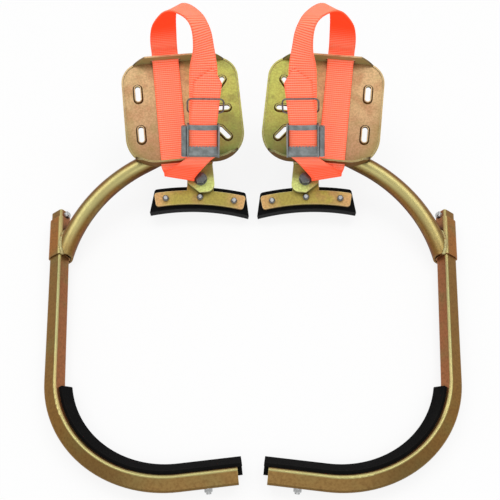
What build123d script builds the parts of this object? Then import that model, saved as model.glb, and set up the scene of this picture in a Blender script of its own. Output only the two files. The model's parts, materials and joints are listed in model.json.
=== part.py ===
"""A mirrored pair of hook climbers for trunks and poles, in millimetres.

Each climber is drawn in its own frame: X runs across the foot, Y along the hook's sleeve and Z up from the
ground that it lies on. The foot plate, the claw and the strap are drawn on the tilted plane of the plate.
The finished left climber is then turned and set down, and the right climber is its mirror image.
"""

import os
from math import asin, atan2, ceil, cos, degrees, hypot, radians, sin

from build123d import *

# Hook and sleeve: square tubes that stand on edge
hook_side = 17.0
hook_wall = 2.0
hook_corner = 3.0
tube_lean = 12.0
hook_bend_radius = 124.0
hook_drop = 191.0
hook_tip_run = 58.0
hook_above_sleeve = 12.0
sleeve_wall = 1.5
sleeve_clearance = 0.25
sleeve_length = 57.0

# Rubber strip on the inner corner of the hook
pad_leg = 11.0
pad_leg_thickness = 3.6
pad_crown_height = 7.4
pad_crown_width = 10.0
pad_crown_round = 2.5
pad_start_angle = 5.0
pad_overhang = 5.0
pad_bond = 0.1

# Arm from the sleeve to the foot plate
arm_diameter = 22.0
arm_wall = 2.0
arm_joint_y = -44.8
arm_joint_height = 7.0
arm_under_x = 105.5
arm_under_depth = 7.2
arm_under_run = 62.0
arm_under_angle = 23.1

# Foot plate, on a plane that rises away from the hook
tread_tilt = 25.0
tread_near_y = 67.0
tread_near_z = 55.7
tread_side = 89.0
tread_width = 147.0
tread_depth = 139.0
tread_sheet = 2.0
tread_near_corner = 38.0
tread_far_corner = 28.0
wall_height = 16.0
wall_side_lip = 1.0
near_ramp_start = 10.0
near_ramp_run = 10.0
far_ramp_start = 16.0
far_ramp_run = 16.0
plate_edge_round = 1.6

# Rimmed slots of the foot plate
grip_slot_length = 20.5
grip_slot_width = 6.6
grip_rim_width = 3.0
grip_rim_height = 2.2
grip_rim_slope = 40.0
outer_slot_inset = 19.5
outer_slot_spacing = 54.0
fan_slot_inset = 25.0
fan_slot_spacing = 66.0
fan_slot_angle = 52.0

# Claw bracket and claw
bracket_width = 33.0
bracket_thickness = 5.0
bracket_weld_run = 12.0
bracket_nose = 16.7
bracket_chamfer = 14.0
bracket_round = 10.0
pivot_from_side = 87.0
pivot_below_edge = 20.5
claw_rest_angle = -7.5
claw_thickness = 4.0
claw_curve_radius = 272.0
claw_band = 17.5
claw_half_width = 55.0
claw_corner = 3.5
claw_stem_drop = 30.0
claw_pad_thickness = 16.0
claw_pad_below = 5.0
claw_pad_above = 5.5
claw_pad_top_half = 55.5
claw_pad_bottom_half = 61.0
claw_pad_corner = 4.0
claw_bolt_spacing = 42.0
claw_bolt_diameter = 4.0
claw_bolt_head_diameter = 8.0
claw_bolt_head_height = 2.6
claw_bolt_recess = 5.0
claw_nut_flats = 7.0
claw_nut_height = 3.2
pivot_diameter = 8.0
pivot_flats = 13.0
pivot_head_height = 5.3
pivot_nut_height = 6.5
pivot_washer_diameter = 16.0
pivot_washer_thickness = 1.6
bolt_clearance = 0.2
running_gap = 0.1
thread_end = 1.8
head_chamfer = 0.6

# Small bolts of the hook
stop_diameter = 5.0
stop_flats = 8.0
stop_head_height = 3.5
stop_nut_height = 4.0
stop_from_end = 6.0
stop_thread_end = 0.9
stud_diameter = 5.0
stud_flats = 8.0
stud_nut_height = 4.0
stud_head_diameter = 9.0
stud_head_height = 1.6
stud_from_tip = 30.0
stud_off_centre = 2.5
stud_washer_diameter = 10.0
stud_washer_thickness = 1.0

# Boot strap: one length of webbing
strap_width = 33.0
strap_thickness = 2.2
strap_room = 0.3
strap_from_side = 57.5
strap_slot_height = 5.0
strap_slot_room = 1.2
strap_slot_end_room = 2.4
strap_rise_run = 11.0
strap_fold_reach = 16.5
strap_fold_width = 37.2
strap_fold_radius = 3.2
strap_fold_turn = -15.0
strap_fold_shift = 4.0
strap_leg_angle = 34.0
strap_leg_lean = 5.4
strap_leg_run = 88.0
strap_twist = 40.7
strap_twist_run = 14.0
shoulder_from_side = 99.1
shoulder_from_edge = 132.2
shoulder_height = 108.2
crest_from_side = 90.7
crest_beyond_edge = 6.3
crest_height = 103.6
crest_turn = 56.4
crest_droop = 43.0
bulge_shift = 6.0
bulge_beyond_edge = 28.6
bulge_height = 57.3
strap_far_gap = 12.0
strap_far_radius = 5.0
arch_steps = 18
arch_twist_steps = 4
sewn_run = 29.0
sewn_rise_run = 4.0
entry_shift = 6.0
entry_run = 4.0
tail_run = 86.0
tail_shift = 5.2
tail_apex = 5.8
tail_point_left = 16.0
tail_point_right = 18.0

# Strap buckle and wire keeper, which lie along the near leg of the strap
buckle_from_side = 94.0
buckle_from_edge = 18.0
buckle_height = 31.0
buckle_length = 39.5
buckle_sheet = 1.6
buckle_ear_margin = 4.0
buckle_bar = 6.0
buckle_curl_radius = 3.8
buckle_curl_inset = 1.5
buckle_bridge_rise = 3.0
jaw_pin_diameter = 3.0
jaw_pin_from_end = 3.6
jaw_length = 9.5
jaw_sheet = 1.8
jaw_teeth = 9
jaw_tooth_depth = 1.6
jaw_side_gap = 0.4
keeper_wire = 2.0
keeper_from_buckle = 41.0
keeper_tilt = -66.0
keeper_height = 19.5
keeper_corner = 5.0
keeper_room = 1.2

# How the pair stands
toe_angle = 6.9
pair_gap = 10.279

# Sizes that follow from the ones above
sleeve_bore = hook_side + 2 * sleeve_clearance
sleeve_side = sleeve_bore + 2 * sleeve_wall
sleeve_corner = hook_corner + sleeve_clearance + sleeve_wall
tube_turn = 45 - tube_lean
sleeve_flat = sleeve_side / 2 - sleeve_corner
axis_height = sleeve_flat * (cos(radians(tube_turn)) + sin(radians(tube_turn))) + sleeve_corner
hook_top = sleeve_length / 2 + hook_above_sleeve
hook_foot_y = -hook_drop - hook_bend_radius
hook_tip_x = hook_bend_radius + hook_tip_run
arm_radius = arm_diameter / 2
tread_middle_x = tread_side + tread_width / 2
pivot_x = tread_side + pivot_from_side
strap_x = tread_side + strap_from_side
wall_top = wall_height + tread_sheet
bracket_low = -tread_sheet - bracket_thickness
claw_top = bracket_low - pivot_washer_thickness - running_gap
claw_low = claw_top - claw_thickness
claw_pad_low = claw_low - claw_pad_thickness
claw_centre = claw_stem_drop + claw_curve_radius
layer_step = strap_thickness + strap_room
claw_pad_inner = claw_curve_radius - claw_pad_below
claw_pad_outer = claw_curve_radius + claw_band + claw_pad_above
jaw_bite = layer_step + strap_thickness / 2 + strap_room
jaw_roll_radius = jaw_pin_diameter / 2 + jaw_sheet
jaw_pin_height = jaw_bite + jaw_roll_radius
buckle_ear_height = jaw_pin_height + buckle_ear_margin
bar_inner = buckle_length / 2 - buckle_bar
sewn_drop = strap_thickness + 2 * strap_room + buckle_sheet
tail_start = tail_run - tail_point_right

# Planes that the pieces are drawn on
tread = Plane(
    origin=(0, tread_near_y, tread_near_z),
    x_dir=(1, 0, 0),
    z_dir=(0, -sin(radians(tread_tilt)), cos(radians(tread_tilt))),
)
tread_side_view = Plane(tread.origin, x_dir=tread.x_dir, z_dir=-tread.y_dir)
claw_plane = Plane(tread.location * Pos(pivot_x, -pivot_below_edge, 0) * Rot(0, 0, claw_rest_angle))
leg_plane = Plane(
    tread.location
    * Pos(tread_side + buckle_from_side, buckle_from_edge, buckle_height)
    * Rot(strap_leg_angle, 0, 0)
    * Rot(0, 0, -strap_leg_lean)
)


def tube_section(middle, heading):
    """Plane across the hook: X is the foot-side face's normal and Y the upper face's normal."""
    upright = Plane(middle, x_dir=heading.cross(Vector(0, 0, -1)), z_dir=heading)
    return Plane(upright.location * Rot(0, 0, tube_turn))


def bend_section(angle):
    """Plane across the hook at an angle round its bend, from 0 at the sleeve to 90 at the tip."""
    outward = Vector(-cos(radians(angle)), -sin(radians(angle)), 0)
    return tube_section(bend_centre + outward * hook_bend_radius, Vector(0, 0, 1).cross(outward))


def hook_profile(section):
    """Sketch of the hollow square tube on a plane across the hook."""
    with BuildSketch(section) as tube:
        RectangleRounded(hook_side, hook_side, hook_corner)
        RectangleRounded(
            hook_side - 2 * hook_wall,
            hook_side - 2 * hook_wall,
            hook_corner - hook_wall,
            mode=Mode.SUBTRACT,
        )
    return tube.sketch


def hexagon(seat, flats, height, bore=0):
    """A hexagon head or nut in the open part, on its seat, with its outer corners broken."""
    with BuildSketch(seat) as outline:
        RegularPolygon(flats / 2, 6, major_radius=False)
        if bore:
            Circle(bore / 2, mode=Mode.SUBTRACT)
    extrude(outline.sketch, amount=height)
    outer_face = faces(Select.LAST).sort_by(Axis(seat.origin, seat.z_dir * height))[-1]
    chamfer(outer_face.outer_wire().edges(), head_chamfer)


# Hook tube: a straight run, a quarter bend round the trunk and the tip's run
bend_centre = Vector(hook_bend_radius, -hook_drop, axis_height)
bend_axis = Axis(bend_centre, (0, 0, 1))
with BuildPart() as hook_tube:
    extrude(hook_profile(bend_section(0)), amount=-hook_top - hook_drop)
    revolve(hook_profile(bend_section(0)), axis=bend_axis, revolution_arc=90)
    extrude(hook_profile(bend_section(90)), amount=hook_tip_run)
    # Holes for the stop bolt and for the stud of the rubber strip
    stop_centre = Vector(0, hook_top - stop_from_end, axis_height)
    stud_centre = Vector(hook_tip_x - stud_from_tip, hook_foot_y, axis_height)
    stop_section = tube_section(stop_centre, Vector(0, -1, 0))
    stud_section = tube_section(stud_centre, Vector(1, 0, 0))
    stop_axis = Plane(stop_centre, x_dir=stop_section.y_dir, z_dir=stop_section.x_dir)
    stud_foot = stud_section.from_local_coords((0, -stud_off_centre, 0))
    stud_axis = Plane(stud_foot, x_dir=stud_section.y_dir, z_dir=-stud_section.x_dir)
    for axis, diameter in ((stop_axis, stop_diameter), (stud_axis, stud_diameter)):
        with BuildSketch(axis):
            Circle(diameter / 2 + bolt_clearance)
        extrude(amount=hook_side, both=True, mode=Mode.SUBTRACT)

# Sleeve that the hook slides in
with BuildPart() as hook_sleeve:
    sleeve_plane = Plane((0, 0, axis_height), x_dir=(1, 0, 0), z_dir=(0, -1, 0))
    with BuildSketch(sleeve_plane):
        RectangleRounded(sleeve_side, sleeve_side, sleeve_corner, rotation=tube_turn)
        RectangleRounded(
            sleeve_bore,
            sleeve_bore,
            hook_corner + sleeve_clearance,
            rotation=tube_turn,
            mode=Mode.SUBTRACT,
        )
    extrude(amount=sleeve_length / 2, both=True)


def pad_profile(section):
    """Sketch of the rubber strip, with its groove for the hook's inner corner, on a plane across the hook."""
    leg_start = hook_side / 2
    leg_end = leg_start - pad_leg
    leg_face = leg_start + pad_leg_thickness
    corner_reach = hypot(leg_start, leg_start) - (hypot(1, 1) - 1) * hook_corner
    crown_line = (corner_reach + pad_crown_height) / hypot(1, 1)
    crown_edge = pad_crown_width / 2 / hypot(1, 1)
    with BuildSketch(section) as pad_sketch:
        Polygon(
            (leg_end, -leg_start),
            (leg_end, -leg_face),
            (crown_line - crown_edge, -crown_line - crown_edge),
            (crown_line + crown_edge, -crown_line + crown_edge),
            (leg_face, -leg_end),
            (leg_start, -leg_end),
            (leg_start, -leg_start),
            align=None,
        )
        crown = pad_sketch.vertices().sort_by(Axis((0, 0, 0), (1, -1, 0)))[-2:]
        fillet(crown, pad_crown_round)
        RectangleRounded(
            hook_side + 2 * pad_bond,
            hook_side + 2 * pad_bond,
            hook_corner + pad_bond,
            mode=Mode.SUBTRACT,
        )
    return pad_sketch.sketch


# Rubber strip along the bend and past the tip
with BuildPart() as hook_pad:
    half_side = hook_side / 2
    revolve(pad_profile(bend_section(pad_start_angle)), axis=bend_axis, revolution_arc=90 - pad_start_angle)
    extrude(pad_profile(bend_section(90)), amount=hook_tip_run + pad_overhang)
    # Seat of the moulded stud's head
    with BuildSketch(stud_axis.offset(hook_corner - half_side)):
        Circle(stud_head_diameter / 2 + pad_bond)
    extrude(amount=-hook_corner - stud_head_height - pad_bond, mode=Mode.SUBTRACT)

# Stud in the rubber, with its washer and nut below the hook
with BuildPart() as pad_stud:
    stud_reach = half_side + stud_washer_thickness + stud_nut_height + thread_end
    with BuildSketch(stud_axis.offset(-half_side)):
        Circle(stud_head_diameter / 2)
    extrude(amount=-stud_head_height)
    with BuildSketch(stud_axis.offset(-half_side)):
        Circle(stud_diameter / 2)
    extrude(amount=half_side + stud_reach)

with BuildPart() as pad_washer:
    with BuildSketch(stud_axis.offset(half_side)):
        Circle(stud_washer_diameter / 2)
        Circle(stud_diameter / 2 + bolt_clearance, mode=Mode.SUBTRACT)
    extrude(amount=stud_washer_thickness)

with BuildPart() as pad_nut:
    hexagon(stud_axis.offset(half_side + stud_washer_thickness), stud_flats, stud_nut_height, stud_diameter)

# Stop bolt through the top of the hook tube
with BuildPart() as stop_bolt:
    hexagon(stop_axis.offset(-half_side), stop_flats, -stop_head_height)
    with BuildSketch(stop_axis.offset(-half_side)):
        Circle(stop_diameter / 2)
    extrude(amount=hook_side + stop_nut_height + stop_thread_end)

with BuildPart() as stop_nut:
    hexagon(stop_axis.offset(half_side), stop_flats, stop_nut_height, stop_diameter)


def arm_profile(section):
    """Sketch of the round arm's tube on a plane across it."""
    with BuildSketch(section) as tube:
        Circle(arm_radius)
        Circle(arm_radius - arm_wall, mode=Mode.SUBTRACT)
    return tube.sketch


# Arm, coped to the side of the sleeve and laid under the foot plate
with BuildPart() as arm_tube:
    arm_depth = -tread_sheet - arm_radius
    arm_edge = tread.from_local_coords((arm_under_x, arm_under_depth, arm_depth))
    arm_end = tread.from_local_coords(
        (
            arm_under_x + arm_under_run * cos(radians(arm_under_angle)),
            arm_under_depth + arm_under_run * sin(radians(arm_under_angle)),
            arm_depth,
        )
    )
    with BuildLine() as arm_path:
        under_plate = Line(arm_end, arm_edge)
        arm_bend = TangentArc(arm_edge, (0, arm_joint_y, arm_joint_height), tangent=under_plate % 1)
    arm_section = Plane(arm_edge, z_dir=under_plate % 1)
    arm_axis = Axis(arm_bend.arc_center, (arm_edge - arm_bend.arc_center).cross(under_plate % 1))
    extrude(arm_profile(arm_section), amount=-arm_under_run)
    arm_turn = degrees(arm_bend.length / arm_bend.radius)
    revolve(arm_profile(arm_section), axis=arm_axis, revolution_arc=arm_turn)
    with BuildSketch(sleeve_plane):
        RectangleRounded(sleeve_side, sleeve_side, sleeve_corner, rotation=tube_turn)
    extrude(amount=sleeve_length, both=True, mode=Mode.SUBTRACT)
    with BuildSketch(sleeve_plane):
        Rectangle(2 * sleeve_side, 2 * sleeve_side, align=(Align.MAX, Align.CENTER))
    extrude(amount=sleeve_length, both=True, mode=Mode.SUBTRACT)
    with BuildSketch(sleeve_plane.offset(sleeve_length / 2)):
        Rectangle(4 * sleeve_side, 4 * sleeve_side)
    extrude(amount=sleeve_length, mode=Mode.SUBTRACT)


def tread_outline(inset):
    """Outline of the foot plate, drawn in by the inset, in the open sketch."""
    middle = (tread_middle_x, tread_depth / 2)
    with BuildSketch(Plane.XY, mode=Mode.PRIVATE) as outline:
        with Locations(middle):
            Rectangle(tread_width - 2 * inset, tread_depth - 2 * inset)
        fillet(outline.vertices().group_by(Axis.Y)[0], tread_near_corner - inset)
        fillet(outline.vertices().group_by(Axis.Y)[-1], tread_far_corner - inset)
    return outline.sketch


def grip_slots(growth):
    """The rimmed slots: two along the outer side and three that fan out on the inner side."""
    outer_x = tread_side + outer_slot_inset
    fan_x = tread_side + tread_width - fan_slot_inset
    middle = tread_depth / 2
    places = [
        (outer_x, middle + outer_slot_spacing / 2, 90),
        (outer_x, middle - outer_slot_spacing / 2, 90),
        (fan_x, middle + fan_slot_spacing / 2, fan_slot_angle),
        (fan_x, middle, 0),
        (fan_x, middle - fan_slot_spacing / 2, -fan_slot_angle),
    ]
    for x, y, angle in places:
        with Locations((x, y)):
            SlotOverall(grip_slot_length + 2 * growth, grip_slot_width + 2 * growth, rotation=angle)


# Foot plate with its turned-up near and far walls
with BuildPart() as foot_plate:
    with BuildSketch(tread.offset(-tread_sheet)):
        add(tread_outline(0))
    extrude(amount=wall_top)
    with BuildSketch(tread):
        add(tread_outline(tread_sheet))
    extrude(amount=wall_height, mode=Mode.SUBTRACT)
    for start, run, aim in ((near_ramp_start, near_ramp_run, 0), (far_ramp_start, far_ramp_run, 1)):
        ramp_left = tread_side + start
        ramp_right = tread_side + tread_width - start
        with BuildSketch(tread_side_view.offset(-aim * tread_depth / 2)):
            with BuildLine():
                Polyline(
                    (tread_side - tread_sheet, wall_side_lip),
                    (ramp_left, wall_side_lip),
                    (ramp_left + run, wall_height),
                    (ramp_right - run, wall_height),
                    (ramp_right, wall_side_lip),
                    (tread_side + tread_width + tread_sheet, wall_side_lip),
                    (tread_side + tread_width + tread_sheet, wall_top),
                    (tread_side - tread_sheet, wall_top),
                    close=True,
                )
            make_face()
        extrude(amount=-tread_depth / 2, mode=Mode.SUBTRACT)
    underside = foot_plate.faces().sort_by(Axis(tread.origin, tread.z_dir))[0]
    fillet(underside.edges(), plate_edge_round)
    with BuildSketch(tread):
        grip_slots(grip_rim_width)
    extrude(amount=grip_rim_height, taper=grip_rim_slope)
    with BuildSketch(tread.offset(-tread_sheet)):
        grip_slots(0)
    extrude(amount=tread_sheet + grip_rim_height, mode=Mode.SUBTRACT)
    with BuildSketch(tread_side_view):
        with Locations((strap_x, strap_slot_height)):
            SlotOverall(strap_width + 2 * strap_slot_end_room, strap_thickness + 2 * strap_slot_room)
    extrude(amount=-tread_depth, mode=Mode.SUBTRACT)

# Ear under the plate that carries the claw
with BuildPart() as claw_bracket:
    ear_left = pivot_x - bracket_width / 2
    ear_right = pivot_x + bracket_width / 2
    ear_nose = -pivot_below_edge - bracket_nose
    with BuildSketch(tread.offset(-tread_sheet)) as ear:
        Polygon(
            (ear_left, bracket_weld_run),
            (ear_left, ear_nose + bracket_chamfer),
            (ear_left + bracket_chamfer, ear_nose),
            (ear_right, ear_nose),
            (ear_right, bracket_weld_run),
            align=None,
        )
        fillet(ear.vertices().sort_by(Axis((0, 0, 0), (1, -1, 0)))[-1], bracket_round)
        with Locations((pivot_x, -pivot_below_edge)):
            Circle(pivot_diameter / 2 + bolt_clearance, mode=Mode.SUBTRACT)
    extrude(amount=-bracket_thickness)


def claw_bolt_places():
    """Places of the three claw bolts, on the middle of the claw's curved band."""
    bolt_radius = claw_curve_radius + claw_band / 2
    swing = degrees(asin(claw_bolt_spacing / bolt_radius))
    places = []
    for angle in (-swing, 0, swing):
        turned = radians(angle)
        places.append((bolt_radius * sin(turned), bolt_radius * cos(turned) - claw_centre))
    return places


# Claw: a curved band with a stem that swings on the pivot bolt
with BuildPart() as claw_plate:
    band_swing = asin(claw_half_width / (claw_curve_radius + claw_band / 2))
    wedge_reach = 2 * claw_curve_radius
    with BuildSketch(claw_plane.offset(claw_top)) as claw_outline:
        with Locations((0, -claw_centre)):
            Circle(claw_curve_radius + claw_band)
            Circle(claw_curve_radius, mode=Mode.SUBTRACT)
            Polygon(
                (0, 0),
                (wedge_reach * sin(band_swing), wedge_reach * cos(band_swing)),
                (-wedge_reach * sin(band_swing), wedge_reach * cos(band_swing)),
                align=None,
                mode=Mode.INTERSECT,
            )
        fillet(claw_outline.vertices(), claw_corner)
        Rectangle(bracket_width, claw_stem_drop - claw_band / 2, align=(Align.CENTER, Align.MAX))
        Circle(bracket_width / 2)
        with Locations(*claw_bolt_places()):
            Circle(claw_bolt_diameter / 2 + bolt_clearance, mode=Mode.SUBTRACT)
        Circle(pivot_diameter / 2 + bolt_clearance, mode=Mode.SUBTRACT)
    extrude(amount=-claw_thickness)

# Rubber block under the claw, hollowed to the trunk
with BuildPart() as claw_pad:
    pad_top = claw_pad_outer - claw_centre
    pad_low = claw_pad_inner * cos(asin(claw_pad_bottom_half / claw_pad_inner)) - claw_centre
    with BuildSketch(claw_plane.offset(claw_low)) as claw_pad_outline:
        with Locations((0, -claw_centre)):
            Circle(claw_pad_outer)
            Circle(claw_pad_inner, mode=Mode.SUBTRACT)
        Polygon(
            (-claw_pad_top_half, pad_top),
            (claw_pad_top_half, pad_top),
            (claw_pad_bottom_half, pad_low),
            (-claw_pad_bottom_half, pad_low),
            align=None,
            mode=Mode.INTERSECT,
        )
        fillet(claw_pad_outline.vertices().group_by(Axis.Y)[-1], claw_pad_corner)
        Circle(pivot_washer_diameter / 2 + pivot_washer_thickness, mode=Mode.SUBTRACT)
        with Locations(*claw_bolt_places()):
            Circle(claw_bolt_diameter / 2 + bolt_clearance, mode=Mode.SUBTRACT)
    extrude(amount=-claw_pad_thickness)
    with BuildSketch(claw_plane.offset(claw_pad_low)):
        with Locations(*claw_bolt_places()):
            Circle(claw_bolt_head_diameter / 2 + bolt_clearance)
    extrude(amount=claw_bolt_recess, mode=Mode.SUBTRACT)

# Three bolts from below the rubber, and their nuts on the claw
with BuildPart() as claw_bolts:
    head_seat = claw_pad_low + claw_bolt_recess
    with BuildSketch(claw_plane.offset(head_seat)):
        with Locations(*claw_bolt_places()):
            Circle(claw_bolt_head_diameter / 2)
    extrude(amount=-claw_bolt_head_height)
    with BuildSketch(claw_plane.offset(head_seat)):
        with Locations(*claw_bolt_places()):
            Circle(claw_bolt_diameter / 2)
    extrude(amount=claw_top + claw_nut_height + thread_end - head_seat)

with BuildPart() as claw_nuts:
    for x, y in claw_bolt_places():
        nut_seat = Plane(claw_plane.location * Pos(x, y, claw_top))
        hexagon(nut_seat, claw_nut_flats, claw_nut_height, claw_bolt_diameter)

# Pivot of the claw: bolt, three washers and nut
pivot_head_seat = pivot_washer_thickness - tread_sheet
pivot_nut_seat = claw_low - running_gap - pivot_washer_thickness
with BuildPart() as pivot_bolt:
    hexagon(claw_plane.offset(pivot_head_seat), pivot_flats, pivot_head_height)
    with BuildSketch(claw_plane.offset(pivot_head_seat)):
        Circle(pivot_diameter / 2)
    extrude(amount=pivot_nut_seat - pivot_nut_height - thread_end - pivot_head_seat)

with BuildPart() as pivot_washers:
    for washer_top in (pivot_head_seat, bracket_low, claw_low - running_gap):
        with BuildSketch(claw_plane.offset(washer_top)):
            Circle(pivot_washer_diameter / 2)
            Circle(pivot_diameter / 2 + bolt_clearance, mode=Mode.SUBTRACT)
        extrude(amount=-pivot_washer_thickness)

with BuildPart() as pivot_nut:
    hexagon(claw_plane.offset(pivot_nut_seat), pivot_flats, -pivot_nut_height, pivot_diameter)


def on_leg(across, along, above):
    """A point beside the near leg of the strap, in the foot plate's own coordinates."""
    return tread.to_local_coords(leg_plane.from_local_coords((across, along, above)))


def arc_stations(centre, radius, start, sweep_angle):
    """Points (along the plate, above the plate) on an arc, with its ends, at most 30 degrees apart."""
    steps = ceil(abs(sweep_angle) / 30)
    stations = []
    for step in range(steps + 1):
        angle = radians(start + sweep_angle * step / steps)
        stations.append((centre[0] + radius * cos(angle), centre[1] + radius * sin(angle)))
    return stations


def width_turned(turn, droop):
    """Direction of the webbing's width, turned from straight across and drooping at its far edge."""
    level = cos(radians(droop))
    return Vector(level * cos(radians(turn)), level * sin(radians(turn)), -sin(radians(droop)))


def leg_width(twist):
    """Direction of the webbing's width on the near leg, twisted so that its right edge drops."""
    return on_leg(cos(radians(twist)), 0, -sin(radians(twist))) - on_leg(0, 0, 0)


def strap_stations():
    """Middle line of the webbing in the plate's coordinates, with its width's direction at each point."""
    rest = strap_room + strap_thickness / 2
    square = width_turned(0, 0)
    rolled = leg_width(0)
    crossed = width_turned(crest_turn, crest_droop)
    folded = width_turned(strap_fold_turn, 0) * (strap_fold_width / strap_width)
    # Sewn end in the buckle, then the near leg up to the arch
    leg_top = on_leg(0, strap_leg_run, 0)
    leg_heading = on_leg(0, 1, 0) - on_leg(0, 0, 0)
    bar_outer = buckle_length / 2
    loop_centre = (bar_inner - strap_room, -sewn_drop / 2)
    stations = [
        (on_leg(0, sewn_run, -layer_step), rolled),
        (on_leg(0, bar_outer + sewn_rise_run, -layer_step), rolled),
        (on_leg(0, bar_outer, -sewn_drop), rolled),
    ]
    for y, n in arc_stations(loop_centre, sewn_drop / 2, 270, -180):
        stations.append((on_leg(0, y, n), rolled))
    # Arch over the boot, where the webbing turns across and back
    far_u = tread_depth + strap_far_gap
    turn_centre = (far_u - strap_far_radius, strap_slot_height + strap_far_radius)
    arch = Spline(
        leg_top,
        (tread_side + shoulder_from_side, shoulder_from_edge, shoulder_height),
        (tread_side + crest_from_side, tread_depth + crest_beyond_edge, crest_height),
        (strap_x + bulge_shift, tread_depth + bulge_beyond_edge, bulge_height),
        (strap_x, far_u, turn_centre[1]),
        tangents=(leg_heading, (0, 0, -1)),
        tangent_scalars=(1, 1),
    )
    stations.append((on_leg(0, strap_leg_run - strap_twist_run, 0), rolled))
    stations.append((on_leg(0, strap_leg_run - strap_twist_run / 2, 0), leg_width(strap_twist / 4)))
    stations.append((leg_top, leg_width(strap_twist / 2)))
    for step in range(1, arch_steps):
        share = sin(radians(180 * step / arch_steps)) ** 2
        near_width = leg_width(strap_twist * min(1, step / arch_twist_steps + 1 / 2))
        side_width = near_width if step < arch_steps / 2 else square
        crossing = side_width * (1 - share) + crossed * share
        stations.append((arch @ (step / arch_steps), crossing.normalized()))
    # Far leg into the slot in the far wall, and the run across the plate to the near wall
    for u, n in arc_stations(turn_centre, strap_far_radius, 0, -90):
        stations.append((Vector(strap_x, u, n), square))
    far_face = tread_depth - tread_sheet
    for u, n in (
        (far_face, strap_slot_height),
        (far_face - strap_rise_run, rest),
        (tread_sheet + strap_rise_run, rest),
        (tread_sheet, strap_slot_height),
    ):
        stations.append((Vector(strap_x, u, n), square))
    # Fold in front of the near wall, then through the buckle to the tail
    fold_centre = (-strap_fold_reach, strap_slot_height + strap_fold_radius)
    for u, n in arc_stations(fold_centre, strap_fold_radius, 270, strap_leg_angle - 180):
        stations.append((Vector(strap_x + strap_fold_shift, u, n), folded))
    stations.append((on_leg(-entry_shift, -buckle_length / 2 - entry_run, layer_step), rolled))
    stations.append((on_leg(0, -buckle_length / 2, layer_step), rolled))
    stations.append((on_leg(0, buckle_length / 2, layer_step), rolled))
    stations.append((on_leg(tail_shift, tail_start, layer_step), rolled))
    return stations


def strap_section(stations, index):
    """Plane across the webbing at a station, with X along its width and Z along its run."""
    middle, width = stations[index]
    before = stations[max(index - 1, 0)][0]
    after = stations[min(index + 1, len(stations) - 1)][0]
    across = width.normalized()
    run = after - before
    run = run - across * run.dot(across)
    local = Plane(middle, x_dir=across, z_dir=run)
    return Plane(tread.location * local.location)


# Boot strap, one unbroken length of webbing
route = strap_stations()
with BuildPart() as strap:
    for index in range(len(route)):
        with BuildSketch(strap_section(route, index)):
            Rectangle(strap_width * route[index][1].length, strap_thickness)
    loft(ruled=True)
    # Tail cut to a point
    with BuildSketch(leg_plane.offset(layer_step - strap_thickness / 2)):
        Polygon(
            (tail_shift - strap_width / 2, tail_start),
            (tail_shift + strap_width / 2, tail_start),
            (tail_shift + tail_apex, tail_run),
            (tail_shift - strap_width / 2, tail_run - tail_point_left),
            align=None,
        )
    extrude(amount=strap_thickness)

# Buckle frame: a pressed plate with two ears and an arched bridge over the webbing
ear_inner = strap_width / 2 + strap_slot_room
with BuildPart() as buckle_frame:
    base_top = -strap_thickness / 2 - strap_room
    half_length = buckle_length / 2
    with BuildSketch(leg_plane.offset(base_top)):
        Rectangle(2 * ear_inner, buckle_length)
        Rectangle(strap_width + 2 * strap_room, 2 * bar_inner, mode=Mode.SUBTRACT)
    extrude(amount=-buckle_sheet)
    ear_side = Plane(leg_plane.origin, x_dir=leg_plane.y_dir, z_dir=leg_plane.x_dir)
    for side in (-1, 1):
        with BuildSketch(ear_side.offset(side * ear_inner)) as ear_profile:
            with Locations((0, base_top - buckle_sheet)):
                Rectangle(
                    buckle_length,
                    buckle_ear_height - base_top + buckle_sheet,
                    align=(Align.CENTER, Align.MIN),
                )
            fillet(ear_profile.vertices().group_by(Axis.Y)[-1], buckle_bar / 2)
        extrude(amount=side * buckle_sheet)
    # Outer ear's top edge, curled outwards
    bridge_plane = Plane(leg_plane.origin, x_dir=leg_plane.x_dir, z_dir=-leg_plane.y_dir)
    curl_middle = ear_inner + buckle_sheet / 2 + buckle_curl_radius
    with BuildSketch(bridge_plane):
        with Locations((-curl_middle, buckle_ear_height - buckle_curl_radius)):
            Circle(buckle_curl_radius)
            Circle(buckle_curl_radius - buckle_sheet, mode=Mode.SUBTRACT)
    extrude(amount=half_length - buckle_curl_inset, both=True)
    with BuildSketch(ear_side):
        with Locations((jaw_pin_from_end - half_length, jaw_pin_height)):
            Circle(jaw_pin_diameter / 2)
    extrude(amount=ear_inner + buckle_sheet, both=True, mode=Mode.SUBTRACT)
    # Arched bridge
    bridge_foot = buckle_ear_height - buckle_bar / 2 - buckle_sheet
    with BuildSketch(bridge_plane.offset(-half_length)):
        with BuildLine():
            low_arch = ThreePointArc(
                (-ear_inner, bridge_foot), (0, bridge_foot + buckle_bridge_rise), (ear_inner, bridge_foot)
            )
            high_arch = ThreePointArc(
                (-ear_inner, bridge_foot + buckle_sheet),
                (0, bridge_foot + buckle_sheet + buckle_bridge_rise),
                (ear_inner, bridge_foot + buckle_sheet),
            )
            Line(low_arch @ 0, high_arch @ 0)
            Line(low_arch @ 1, high_arch @ 1)
        make_face()
    extrude(amount=buckle_bar)

# Toothed jaw on its pin
jaw_axis = ear_side.from_local_coords((jaw_pin_from_end - half_length, jaw_pin_height, 0))
with BuildPart() as buckle_pin:
    with BuildSketch(Plane(jaw_axis, x_dir=leg_plane.y_dir, z_dir=leg_plane.x_dir)):
        Circle(jaw_pin_diameter / 2)
    extrude(amount=ear_inner + buckle_sheet, both=True)

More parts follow.
